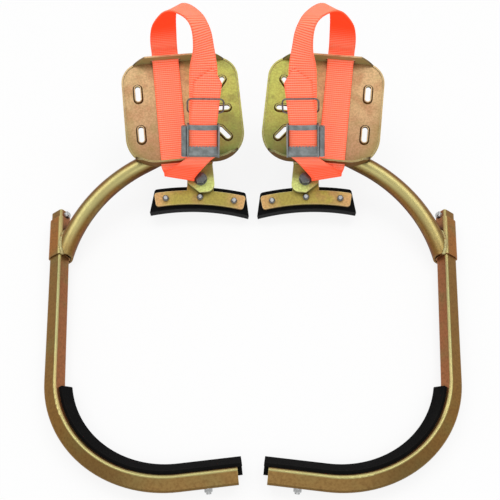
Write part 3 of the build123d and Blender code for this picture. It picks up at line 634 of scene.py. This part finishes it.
def hermite(points, start, end, samples):
    """Smooth curve through the points with set end headings, sampled evenly in its parameter."""
    spots = np.array([tuple(point) for point in points])
    gaps = np.linalg.norm(np.diff(spots, axis=0), axis=1)
    count = len(spots)
    system = np.zeros((count, count))
    wanted = np.zeros((count, 3))
    system[0, 0] = system[-1, -1] = 1.0
    wanted[0], wanted[-1] = tuple(start.normalized()), tuple(end.normalized())
    for i in range(1, count - 1):
        before, after = gaps[i - 1], gaps[i]
        system[i, i - 1 : i + 2] = 1 / before, 2 / before + 2 / after, 1 / after
        come, go = spots[i] - spots[i - 1], spots[i + 1] - spots[i]
        wanted[i] = 3 * (come / before**2 + go / after**2)
    slopes = np.linalg.solve(system, wanted)
    marks = np.concatenate(([0.0], np.cumsum(gaps)))
    curve = []
    for step in range(samples + 1):
        mark = marks[-1] * step / samples
        i = min(int(np.searchsorted(marks, mark, side="right")) - 1, count - 2)
        share, gap = (mark - marks[i]) / gaps[i], gaps[i]
        spot = cubic(share, spots[i], gap * slopes[i], spots[i + 1], gap * slopes[i + 1])
        curve.append((step / samples, Vector(spot)))
    return curve


def arc(centre, radius, start, sweep, steps):
    """Points round an arc on a side view, as depth and height in millimetres."""
    turns = [radians(start + sweep * step / steps) for step in range(steps + 1)]
    return [(centre[0] + radius * cos(turn), centre[1] + radius * sin(turn)) for turn in turns]


def follow(stations, step):
    """Rows at even steps along a smooth line through the stations: middle and width of each."""
    rows = []
    for i in range(len(stations) - 1):
        (p1, w1), (p2, w2) = stations[i], stations[i + 1]
        p0 = stations[i - 1][0] if i else p1 * 2 - p2
        p3 = stations[i + 2][0] if i + 2 < len(stations) else p2 * 2 - p1
        d0, d1, d2 = (gap.length**0.5 for gap in (p1 - p0, p2 - p1, p3 - p2))
        m1 = ((p1 - p0) / d0 - (p2 - p0) / (d0 + d1) + (p2 - p1) / d1) * d1
        m2 = ((p2 - p1) / d1 - (p3 - p1) / (d1 + d2) + (p3 - p2) / d2) * d1
        count = max(1, round((p2 - p1).length / step))
        for k in range(count):
            ease = smooth_step(k / count)
            span = w1.length * (1 - ease) + w2.length * ease
            width = (w1 * (1 - ease) + w2 * ease).normalized() * span
            rows.append((cubic(k / count, p1, m1, p2, m2), width))
    rows.append(stations[-1])
    return rows


# ---- Boot strap, with its route in millimetres ----

STRAP_X, STRAP_LAYER = 57.5, 2.5
LEG_TWIST, TWIST_FROM, TWIST_RUN = radians(40.7), 72.0, 38.0
LEG_TOP, ARCH_STEPS, ARCH_TWIST_RUN = 88.0, 40, 175.0
ARCH_TURN, ARCH_DROOP, FOLD_TURN, FOLD_SPREAD, FOLD_SHIFT = 56.4, 43.0, -15.0, 1.127, 4.0
TAIL_FROM, TAIL_RUN, TAIL_SHIFT, TAIL_APEX = 40.0, 86.0, 5.2, 5.8
TAIL_CORNERS = (70.0, 68.0)
# Places along each run with its height, or on the way to the tail its shift to the side
SEWN_END = ((29.0, -2.45), (26.0, -2.45), (23.6, -2.75), (20.0, -4.05), (17.0, -4.4))
LEG_RUN = (18.0, 30.0, 46.0, 60.0, 70.0, 76.0, 82.0)
PLATE_RUN = ((137, 5), (131, 3.2), (126, 1.55), (119, 1.35), (100, 1.35), (70, 1.35), (40, 1.35))
PLATE_RUN += ((20, 1.35), (13, 1.55), (8, 3.2), (2, 5), (-3, 5.05))
BUCKLE_RUN = ((-24.5, -6.5), (-19.7, -1.0), (-14, 0), (2, 0), (17, 0), (34, 1.5), (52, 3.4))
BUCKLE_RUN += ((66, 4.95), (76, TAIL_SHIFT), (TAIL_RUN, TAIL_SHIFT))
# Places on the plate that the arch goes through, and centre, radius, start, sweep and steps of arcs
ARCH = ((99.1, 132.2, 108.2), (90.7, 145.3, 103.6), (STRAP_X + 6, 167.6, 57.3), (STRAP_X, 151, 10))
BAR_ARC, PLATE_ARC = ((13.45, -2.2), 2.2, 270, -180, 8), ((146, 10), 5, 0, -90, 6)
FOLD_ARC = ((-16.5, 8.2), 3.2, 270, -146, 8)
# Start and run of the painted shade and glow, deep and high behind the plate and deep in the fold;
# its share there
GLOWS, FOLD_GLOW = ((129.0, 9.0), (14.0, 32.0), (-5.0, 6.0)), 0.6
# Section of the webbing, in metres
COLUMNS, EDGE, EDGE_SHARE, EDGE_STEP, EDGE_LIFT = 8, 0.0009, 0.3, 0.3, 0.72
LEAST_SPAN, SEAL_REACH = 0.0004, 0.0016


def leg_width(y):
    """Width direction on the buckle's leg, whose right edge drops as it twists into the arch."""
    twist = LEG_TWIST * smooth_step((y - TWIST_FROM) / TWIST_RUN)
    return cos(twist) * LEG_ACROSS - sin(twist) * LEG_UP


def strap_route():
    """Stations of the webbing, from its sewn end round the buckle's bar to its tail."""
    crossed = turned_on_tread(ARCH_TURN, ARCH_DROOP)
    folded = turned_on_tread(FOLD_TURN, 0.0) * FOLD_SPREAD
    loop = [*SEWN_END, *arc(*BAR_ARC), *((y, 0.0) for y in LEG_RUN)]
    stations = [(on_leg(0, y, high), leg_width(y)) for y, high in loop]
    over = [on_leg(0, LEG_TOP, 0), *(on_tread(*spot) for spot in ARCH)]
    arch = hermite(over, LEG_ALONG, -TREAD_UP, ARCH_STEPS)
    for i, (share, spot) in enumerate(arch):
        cross = sin(pi * share) ** 2
        side_width = leg_width(LEG_TOP + ARCH_TWIST_RUN * share) if share < 0.5 else ACROSS
        width = side_width * (1 - cross) + crossed * cross
        run = (arch[min(i + 1, len(arch) - 1)][1] - arch[max(i - 1, 0)][1]).normalized()
        stations.append((spot, (width - run * width.dot(run)).normalized()))
    for deep, high in (*arc(*PLATE_ARC)[1:], *PLATE_RUN):
        stations.append((on_tread(STRAP_X, deep, high), ACROSS))
    for deep, high in arc(*FOLD_ARC):
        stations.append((on_tread(STRAP_X + FOLD_SHIFT, deep, high), folded))
    for y, shift in BUCKLE_RUN:
        stations.append((on_leg(shift, y, STRAP_LAYER), LEG_ACROSS))
    return stations


def tail_limits(spot, half):
    """Left and right edge of the webbing on its pointed tail, in metres from its middle."""
    y, apex = (spot - LEG).dot(LEG_ALONG) / MM, TAIL_APEX * MM
    left, right = (max(0.0, (y - corner) / (TAIL_RUN - corner)) for corner in TAIL_CORNERS)
    return (half + apex) * left - half, half - (half - apex) * right


def glow_through(spot):
    """Share of painted shade and glow, a deeper red inside the arch behind the plate and in the
    fold before it.
    """
    deep = (spot - TREAD_CORNER).dot(TREAD_DEEP) / MM
    high = (spot - TREAD_CORNER).dot(TREAD_UP) / MM
    (deep_from, deep_run), (high_from, high_run), (fold_from, fold_run) = GLOWS
    behind = smooth_step((deep - deep_from) / deep_run) * smooth_step((high - high_from) / high_run)
    return behind, FOLD_GLOW * smooth_step((fold_from - deep) / fold_run)


def strap_mesh(name, side, strap):
    """Closed mesh of the webbing with rounded edges, its map and its marks, and its length."""
    rows = follow(strap_route(), strap.row_step)
    half, thick = strap.width / 2, strap.thickness / 2
    shares = [step / COLUMNS for step in range(COLUMNS + 1)]
    lifts = [0.0, EDGE_LIFT] + [1.0] * len(shares) + [EDGE_LIFT, 0.0]
    mesh = bpy.data.meshes.new(name)
    shape = bmesh.new()
    web = shape.loops.layers.uv.new("webbing")
    seal = shape.verts.layers.float.new("sealed")
    shade = shape.verts.layers.float.new("shaded")
    rings, spots, length = [], {}, 0.0
    tail_start = len(rows) - round((TAIL_RUN - TAIL_FROM) * MM / strap.row_step)
    for i, (spot, width) in enumerate(rows):
        before, after = rows[max(i - 1, 0)][0], rows[min(i + 1, len(rows) - 1)][0]
        length += (spot - before).length
        span = width.length
        width = width.normalized()
        normal = width.cross(after - before).normalized()
        left, right = -half * span, half * span
        if i > tail_start:
            left, right = tail_limits(spot, half)
        cut = i > tail_start and right - left < strap.width - 1e-6
        span = max(right - left, LEAST_SPAN)
        edge = min(EDGE, span * EDGE_SHARE)
        places = [left, left + edge * EDGE_STEP]
        places += [left + edge + (span - 2 * edge) * share for share in shares]
        places += [left + span - edge * EDGE_STEP, left + span]
        loop = list(zip(places, lifts))
        loop += [(place, -lift) for place, lift in loop[-2:0:-1]]
        behind, folded = glow_through(spot)
        ring = []
        for place, lift in loop:
            at = spot + width * place + normal * (lift * thick)
            vert = shape.verts.new(to_side(at, side))
            gap = min(place - left, left + span - place)
            vert[seal] = max(0.0, 1.0 - gap / SEAL_REACH) if cut or i == 0 else 0.0
            # Painted shade and glow on the arch's inner face and in the fold.
            vert[shade] = max(behind * (0.5 - 0.5 * lift), folded)
            ring.append(vert)
            spots[vert] = (place, length)
        rings.append(ring)
    for ring, following in zip(rings, rings[1:]):
        for k in range(len(ring)):
            j = (k + 1) % len(ring)
            shape.faces.new((ring[k], ring[j], following[j], following[k]))
    shape.faces.new(rings[0][::-1])
    shape.faces.new(rings[-1])
    for face in shape.faces:
        face.smooth = True
        for corner in face.loops:
            corner[web].uv = spots[corner.vert]
    bmesh.ops.recalc_face_normals(shape, faces=shape.faces)
    shape.to_mesh(mesh)
    shape.free()
    return mesh, length


class CLIMBER_OT_straps(Operator):
    """Make the two boot straps from ribbed webbing"""

    bl_idname = "climber.straps"
    bl_label = "Boot straps"

    def execute(self, context):
        strap = context.scene.climber_straps
        webbing = ribbed_webbing(strap)
        for side in SIDES:
            mesh, length = strap_mesh(f"{side}_webbing", side, strap)
            piece = new_piece(f"{side}_webbing", mesh, webbing)
            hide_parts(f"{side}_strap")
            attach(piece, f"{side}_frame")
        return {"FINISHED"}


# ---- Repeated details along paths ----

SCALE_LEAST, SCALE_MOST = (0.86, 0.86, 0.62), (1.14, 1.14, 0.9)


class Repeat(Tree):
    """A geometry tree that sets a small shape along the edges of a path."""

    def __init__(self, name, *sizes):
        kinds = {"Path": "Geometry", "Seed": "Int", "Material": "Material"}
        self.tree = bpy.data.node_groups.new(name, "GeometryNodeTree")
        self.inputs = {}
        new_socket = self.tree.interface.new_socket
        for label in ("Path", *sizes, "Material"):
            kind = f"NodeSocket{kinds.get(label, 'Float')}"
            self.inputs[label] = new_socket(label, in_out="INPUT", socket_type=kind).identifier
        new_socket("Result", in_out="OUTPUT", socket_type="NodeSocketGeometry")
        self.given = self.node("NodeGroupInput")

    def spread(self, spacing, shape, **scale):
        """Ends the tree with the shape at even steps along the path, as real geometry."""
        line = self.node("GeometryNodeMeshToCurve", {"Mesh": self.given["Path"]})
        inputs = {"Curve": line, "Length": self.given[spacing]}
        points = self.node("GeometryNodeCurveToPoints", inputs, mode="LENGTH")
        inputs = {"Vector": points["Tangent"]}
        heading = self.node("FunctionNodeAlignRotationToVector", inputs, axis="Z")
        inputs = {"Points": points, "Instance": shape, "Rotation": heading, **scale}
        made = self.node("GeometryNodeInstanceOnPoints", inputs)
        for step in ("RealizeInstances", "SetShadeSmooth"):
            made = self.node(f"GeometryNode{step}", {"Geometry": made})
        inputs = {"Geometry": made, "Material": self.given["Material"]}
        made = self.node("GeometryNodeSetMaterial", inputs)
        self.node("NodeGroupOutput", {"Result": made})
        return self

    def make(self, side, name, paths, material, sizes, **values):
        """One plain mesh piece along the left climber's paths or their mirror images."""
        name = f"{side}_{name}"
        mesh = bpy.data.meshes.new("path")
        verts, edges = [], []
        for path in paths:
            first = len(verts)
            verts += [tuple(to_side(point, side)) for point in path]
            edges += [(first + i, first + i + 1) for i in range(len(path) - 1)]
        mesh.from_pydata(verts, edges, [])
        holder = bpy.data.objects.new("path", mesh)
        bpy.context.scene.collection.objects.link(holder)
        modifier = holder.modifiers.new("Repeat", "NODES")
        modifier.node_group = self.tree
        values |= {key.title(): getattr(sizes, key) for key in sizes.__annotations__}
        for label, value in {**values, "Material": material}.items():
            modifier[self.inputs[label]] = value
        ready = holder.evaluated_get(bpy.context.evaluated_depsgraph_get())
        made = bpy.data.meshes.new_from_object(ready)
        made.name = name
        holder.modifiers.clear()
        bpy.data.objects.remove(holder)
        bpy.data.meshes.remove(mesh)
        if not made.polygons:
            raise RuntimeError(f"{name} came out empty")
        return new_piece(name, made, material)


def weld_tree():
    """Overlapping scales along a bead."""
    bead = Repeat("Weld scales", "Radius", "Spacing", "Seed")
    inputs = {0: SCALE_LEAST, 1: SCALE_MOST, "Seed": bead.given["Seed"]}
    uneven = bead.node("FunctionNodeRandomValue", inputs, data_type="FLOAT_VECTOR")
    inputs = {"Segments": 12, "Rings": 7, "Radius": bead.given["Radius"]}
    ball = bead.node("GeometryNodeMeshUVSphere", inputs)
    return bead.spread("Spacing", ball, Scale=uneven)


def stitch_tree():
    """Short thread stitches along a seam."""
    seam = Repeat("Stitches", "Length", "Spacing", "Thread")
    thread = seam.given["Thread"]
    inputs = {"X": thread, "Y": thread, "Z": seam.given["Length"] * 0.5}
    slim = seam.node("ShaderNodeCombineXYZ", inputs)
    inputs = {"Segments": 8, "Rings": 6, "Radius": 1.0}
    ball = seam.node("GeometryNodeMeshUVSphere", inputs)
    return seam.spread("Spacing", ball, Scale=slim)


def thread_tree():
    """Ridges round a bolt's bare end."""
    screw = Repeat("Thread ridges", "Bolt", "Pitch", "Ridge")
    circles = []
    for label, corners in (("Bolt", 28), ("Ridge", 6)):
        inputs = {"Resolution": corners, "Radius": screw.given[label]}
        circles.append(screw.node("GeometryNodeCurvePrimitiveCircle", inputs))
    inputs = dict(zip(("Curve", "Profile Curve"), circles))
    return screw.spread("Pitch", screw.node("GeometryNodeCurveToMesh", inputs))


# ---- Weld beads, with their places in millimetres ----

SEAM_STEPS, SEAM_SEARCH, SEAM_LEAST = 96, 300, 30
ARM_SEAM_FROM, ARM_SEAM_RUN, ARM_SEAM_STEPS = 4.0, 54.0, 12
ARM_SEAM_ASIDE, ARM_SEAM_HIGH, ARM_SEAM_NEAR = 9.1, -3.7, 3.5
# Half length, depth and height of the bracket's two beads
BRACKET_SEAMS, BRACKET_STEPS = ((15.5, -0.5, -1.3), (14.0, 12.3, -3.4)), 10


def in_sleeve(spot):
    """Whether a point lies inside the sleeve's outline, and its place along the sleeve."""
    local = (spot - CLIMBER) / MM
    x, high = local.dot(ACROSS), local.dot(UP) - TUBE_AXIS_HEIGHT
    first = abs(x * cos(TUBE_TURN) + high * sin(TUBE_TURN)) - SLEEVE_FLAT
    second = abs(high * cos(TUBE_TURN) - x * sin(TUBE_TURN)) - SLEEVE_FLAT
    reach = np.hypot(max(first, 0.0), max(second, 0.0)) + min(max(first, second), 0.0)
    return reach <= SLEEVE_CORNER, local.dot(ALONG)


def sleeve_seam():
    """Line where the round arm meets the sleeve, from its lower end round the crotch and back."""
    edge = on_tread(ARM_X, ARM_DEEP, -PLATE_SHEET - ARM_RADIUS)
    heading = -(cos(ARM_ANGLE) * ACROSS + sin(ARM_ANGLE) * TREAD_DEEP)
    chord = on_climber(*ARM_END) - edge
    side = (chord - heading * chord.dot(heading)).normalized()
    radius = chord.length_squared / (2.0 * chord.dot(side))
    centre = edge + side * radius
    normal = heading.cross(side)
    sweep = 2.0 * np.arctan2(chord.dot(side), chord.dot(heading))
    seam = []
    for step in range(SEAM_STEPS + 1):
        angle = 2.0 * pi * step / SEAM_STEPS - pi
        ring = radius + ARM_RADIUS * MM * cos(angle)
        for turn in np.linspace(0.5 * sweep, sweep, SEAM_SEARCH):
            outward = heading * sin(turn) - side * cos(turn)
            spot = centre + outward * ring + normal * (ARM_RADIUS * MM * sin(angle))
            inside, along = in_sleeve(spot)
            if along < -SLEEVE_HALF:
                break
            if inside:
                seam.append(spot)
                break
    if len(seam) < SEAM_LEAST:
        raise RuntimeError("the arm's seam misses the sleeve")
    return seam


def plate_seams():
    """Lines of the beads that join the arm and the claw bracket to the foot plate."""
    seams = []
    for aside in (-ARM_SEAM_ASIDE, ARM_SEAM_ASIDE):
        line = []
        for step in range(ARM_SEAM_STEPS + 1):
            run = ARM_SEAM_FROM + ARM_SEAM_RUN * step / ARM_SEAM_STEPS
            x = ARM_X + run * cos(ARM_ANGLE) - aside * sin(ARM_ANGLE)
            deep = ARM_DEEP + run * sin(ARM_ANGLE) + aside * cos(ARM_ANGLE)
            if deep > ARM_SEAM_NEAR:
                line.append(on_tread(x, deep, ARM_SEAM_HIGH))
        seams.append(line)
    for half, deep, high in BRACKET_SEAMS:
        places = [2 * half * step / BRACKET_STEPS - half for step in range(BRACKET_STEPS + 1)]
        seams.append([on_tread(PIVOT_X + place, deep, high) for place in places])
    return seams


class CLIMBER_OT_welds(Operator):
    """Lay weld beads where the arm meets the sleeve and the foot plate"""

    bl_idname = "climber.welds"
    bl_label = "Weld beads"

    def execute(self, context):
        weld = context.scene.climber_welds
        metal = weld_metal(context.scene.climber_finishes)
        bead = weld_tree()
        seams = [sleeve_seam(), *plate_seams()]
        for side in SIDES:
            piece = bead.make(side, "weld_beads", seams, metal, weld)
            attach(piece, f"{side}_frame")
        return {"FINISHED"}


# ---- Stitches, with their rows in millimetres ----

STITCH_ROWS, STITCH_REACH, STITCH_HIGH = (24.7, 26.5, 28.2), 14.0, -3.52


class CLIMBER_OT_stitches(Operator):
    """Sew the end of each strap back on itself, round the buckle's bar"""

    bl_idname = "climber.stitches"
    bl_label = "Stitches"

    def execute(self, context):
        stitch = context.scene.climber_stitches
        thread = sewing_thread()
        seam = stitch_tree()
        ends = (-STITCH_REACH, STITCH_REACH)
        rows = [[on_leg(x, y, STITCH_HIGH) for x in ends] for y in STITCH_ROWS]
        for side in SIDES:
            piece = seam.make(side, "stitches", rows, thread, stitch)
            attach(piece, f"{side}_frame")
        return {"FINISHED"}


# ---- Bolt threads, with their places in millimetres ----

CLAW_BOLT, CLAW_BOLT_COUNT, CLAW_BARE = 2.0, 3, (0.3, 1.6)
STOP_BOLT, STOP_Y, STOP_BARE = 2.5, 34.5, (12.6, 13.3)
PAD_STUD, STUD_BEFORE_END, STUD_LOW, STUD_BARE = 2.5, 30.0, 2.5, (13.7, 15.2)
PIVOT_BOLT, PIVOT_MARGIN, RIDGE_SUNK = 4.0, 0.2, 0.25


def vertex_places(piece):
    """A left piece's vertices across, deep and up from the claw's pivot, in metres."""
    spots = [vertex.co - PIVOT for vertex in frame["nodes"][f"left_{piece}"].data.vertices]
    return np.array([[spot.dot(axis) for axis in (ACROSS, TREAD_DEEP, TREAD_UP)] for spot in spots])


def bolt_ends():
    """Bare bolt ends of the left climber: body, radius, foot, heading, and from where to where."""
    ends = []
    nuts = vertex_places("claw_nuts")
    marks = np.linspace(nuts[:, 0].min(), nuts[:, 0].max(), CLAW_BOLT_COUNT + 1)
    for first, last in zip(marks, marks[1:]):
        nut = nuts[(nuts[:, 0] > first - 1e-6) & (nuts[:, 0] < last + 1e-6)]
        x, deep, _ = (nut.min(axis=0) + nut.max(axis=0)) / 2
        foot = PIVOT + ACROSS * x + TREAD_DEEP * deep + TREAD_UP * nuts[:, 2].max()
        ends.append(("claw", CLAW_BOLT, foot, TREAD_UP, CLAW_BARE))
    stop_out = cos(TUBE_TURN) * ACROSS + sin(TUBE_TURN) * UP
    stop = on_climber(0, STOP_Y, TUBE_AXIS_HEIGHT)
    ends.append(("hook", STOP_BOLT, stop, stop_out, STOP_BARE))
    stud_out = -(cos(TUBE_TURN) * ALONG + sin(TUBE_TURN) * UP)
    stud_up = -sin(TUBE_TURN) * ALONG + cos(TUBE_TURN) * UP
    stud_x, stud_y = BEND_CENTRE[0] + HOOK_RUN - STUD_BEFORE_END, BEND_CENTRE[1] - BEND_RADIUS
    stud = on_climber(stud_x, stud_y, TUBE_AXIS_HEIGHT) - stud_up * (STUD_LOW * MM)
    ends.append(("hook", PAD_STUD, stud, stud_out, STUD_BARE))
    nut_face, tip = (vertex_places(f"pivot_{end}")[:, 2].min() / MM for end in ("nut", "bolt"))
    bare = (nut_face - PIVOT_MARGIN, tip + PIVOT_MARGIN)
    ends.append(("frame", PIVOT_BOLT, PIVOT, TREAD_UP, bare))
    return ends


class CLIMBER_OT_threads(Operator):
    """Cut ridges round the bare ends of the bolts"""

    bl_idname = "climber.threads"
    bl_label = "Bolt threads"

    def execute(self, context):
        thread = context.scene.climber_threads
        zinc = bpy.data.materials["Bright zinc"]
        screw = thread_tree()
        groups = {}
        for body, radius, foot, heading, marks in bolt_ends():
            line = [foot + heading * (mark * MM) for mark in marks]
            groups.setdefault((body, radius), []).append(line)
        for side in SIDES:
            for (body, radius), lines in groups.items():
                bolt = radius * MM - thread.ridge * RIDGE_SUNK
                piece = screw.make(side, f"{body}_threads", lines, zinc, thread, Bolt=bolt)
                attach(piece, f"{side}_{body}")
        return {"FINISHED"}


# ---- Finishes of the solid pieces ----


class CLIMBER_OT_finishes(Operator):
    """Give every metal and rubber piece its finish"""

    bl_idname = "climber.finishes"
    bl_label = "Finishes"

    def execute(self, context):
        look = context.scene.climber_finishes
        zinc = bright_zinc("Bright zinc", look.zinc)
        dark_zinc = bright_zinc("Dark zinc", scaled(look.zinc, 0.3))
        plate_tones = (look.outer_far, look.outer_near, look.inner_far, look.inner_near)
        claw_tones = (look.claw_gold, look.claw_gold, look.claw_olive, look.claw_olive)
        gold, brown, red = look.tube_gold, look.tube_brown, look.sleeve_red
        finishes = {
            plated_sheet(look, "Yellow plated sheet", plate_tones): ("foot_plate",),
            plated_sheet(look, "Yellow plated claw", claw_tones): ("claw_plate",),
            plated_sheet(look, "Yellow plated bracket", (look.bracket,) * 4): ("claw_bracket",),
            plated_tube(look, "Yellow plated arm", gold, look.arm_red, round_crown): ("arm_tube",),
            plated_tube(look, "Yellow plated hook", gold, brown, square_crown): ("hook_tube",),
            plated_tube(look, "Yellow plated sleeve", red, brown, square_crown): ("hook_sleeve",),
            black_rubber(look): ("hook_pad", "claw_pad"),
            buckle_plate(look): ("buckle_frame", "buckle_jaw", "buckle_pin"),
            dark_zinc: ("wire_keeper", "pivot_bolt", "pivot_washers", "pivot_nut", "claw_nuts"),
            zinc: ("pad_stud", "pad_washer", "pad_nut", "stop_bolt", "stop_nut", "claw_bolts"),
        }
        for material, pieces in finishes.items():
            for piece in pieces:
                for side in SIDES:
                    for slot in frame["nodes"][f"{side}_{piece}"].material_slots:
                        slot.material = material
        return {"FINISHED"}


# ---- Stage, in metres ----

FLOOR_REACH, FLOOR_LOW, FLOOR_GLOW = 4.0, -0.0004, 0.85
SIDE_LIGHTS, SIDE_SIZE = {"left_light": -0.6, "right_light": 0.6}, (0.7, 0.9)
SIDE_Y, SIDE_Z, SIDE_AIM_SHARE, SIDE_AIM_Y = 0.45, 1.35, 0.2, 0.1
FRONT_PLACE, FRONT_SIZE, LIGHT_AIM_Z = (0.0, -1.1, 1.0), (1.4, 0.5), 0.05
CAMERA_PLACE, CAMERA_AIM = (0.0, -0.5205, 0.7413), (0.0, 0.0283, 0.01297)
CAMERA_SHIFT = -0.006


def aimed(name, data, place, aim):
    """A light or camera in the scene that looks from its place at another."""
    thing = bpy.data.objects.new(name, data)
    thing.location = place
    thing.rotation_euler = (Vector(aim) - Vector(place)).to_track_quat("-Z", "Y").to_euler()
    bpy.context.scene.collection.objects.link(thing)
    return thing


def area_light(name, place, aim, size, power):
    """A soft rectangular light."""
    lamp = bpy.data.lights.new(name, "AREA")
    lamp.shape = "RECTANGLE"
    lamp.size, lamp.size_y = size
    lamp.energy = power
    aimed(name, lamp, place, aim)


def floor_material():
    """Pale floor that reads as white and keeps a soft shadow."""
    finish = Finish("Pale floor")
    finish.surface(base_color=(0.9, 0.9, 0.9), roughness=0.9)
    path = finish.node("ShaderNodeLightPath")
    seen = path["Is Camera Ray"] + path["Is Glossy Ray"] + path["Is Transmission Ray"]
    share = seen.at_most(1.0) * FLOOR_GLOW
    glow = finish.node("ShaderNodeEmission")
    inputs = {0: share, 1: Value(finish, finish.shader.outputs[0]), 2: glow}
    mixed = finish.node("ShaderNodeMixShader", inputs)
    finish.feed(finish.tree.nodes["Material Output"].inputs["Surface"], mixed)
    return finish.material


class CLIMBER_OT_studio(Operator):
    """Set the floor, the lights and the camera"""

    bl_idname = "climber.studio"
    bl_label = "Studio"

    def execute(self, context):
        scene = context.scene
        studio = scene.climber_studio
        scene.view_settings.view_transform = "Standard"
        mesh = bpy.data.meshes.new("floor")
        turns = ((-1, -1), (1, -1), (1, 1), (-1, 1))
        corners = [(FLOOR_REACH * x, FLOOR_REACH * y, FLOOR_LOW) for x, y in turns]
        mesh.from_pydata(corners, [], [(0, 1, 2, 3)])
        new_piece("floor", mesh, floor_material())
        scene.world = bpy.data.worlds.new("Studio")
        scene.world.use_nodes = True
        sky = scene.world.node_tree.nodes["Background"].inputs
        sky["Color"].default_value = (1.0, 1.0, 1.0, 1.0)
        sky["Strength"].default_value = studio.sky
        for name, x in SIDE_LIGHTS.items():
            aim = (x * SIDE_AIM_SHARE, SIDE_AIM_Y, LIGHT_AIM_Z)
            area_light(name, (x, SIDE_Y, SIDE_Z), aim, SIDE_SIZE, studio.side_power)
        front_aim = (0.0, 0.0, LIGHT_AIM_Z)
        area_light("front_light", FRONT_PLACE, front_aim, FRONT_SIZE, studio.front_power)
        lens = bpy.data.cameras.new("camera")
        lens.lens = studio.lens
        lens.shift_x = CAMERA_SHIFT
        scene.camera = aimed("camera", lens, CAMERA_PLACE, CAMERA_AIM)
        return {"FINISHED"}


# ---- Panel and registration ----

STEPS = {
    CLIMBER_OT_finishes: FinishSettings,
    CLIMBER_OT_straps: StrapSettings,
    CLIMBER_OT_stitches: StitchSettings,
    CLIMBER_OT_welds: WeldSettings,
    CLIMBER_OT_threads: ThreadSettings,
    CLIMBER_OT_studio: StudioSettings,
}
SETTINGS = {step.bl_idname.replace(".", "_"): kind for step, kind in STEPS.items()}


class CLIMBER_PT_sidebar(Panel):
    """Lists the steps and their settings"""

    bl_label = "Hook climbers"
    bl_idname = "CLIMBER_PT_sidebar"
    bl_space_type = "VIEW_3D"
    bl_region_type = "UI"
    bl_category = "Climbers"

    def draw(self, context):
        for step, settings in zip(STEPS, SETTINGS):
            box = self.layout.box()
            box.operator(step.bl_idname)
            group = getattr(context.scene, settings)
            for key in group.__annotations__:
                box.prop(group, key)


CLASSES = (*SETTINGS.values(), *STEPS, CLIMBER_PT_sidebar)


def register():
    """Registers the classes and hangs the settings on the scene."""
    for kind in CLASSES:
        bpy.utils.register_class(kind)
    for name, kind in SETTINGS.items():
        setattr(bpy.types.Scene, name, PointerProperty(type=kind))


def unregister():
    """Takes the settings and classes away again."""
    for name in SETTINGS:
        delattr(bpy.types.Scene, name)
    for kind in reversed(CLASSES):
        bpy.utils.unregister_class(kind)


def main():
    """Runs every step."""
    register()
    for step in STEPS:
        group, name = step.bl_idname.split(".")
        getattr(getattr(bpy.ops, group), name)()


if __name__ == "__main__":
    main()
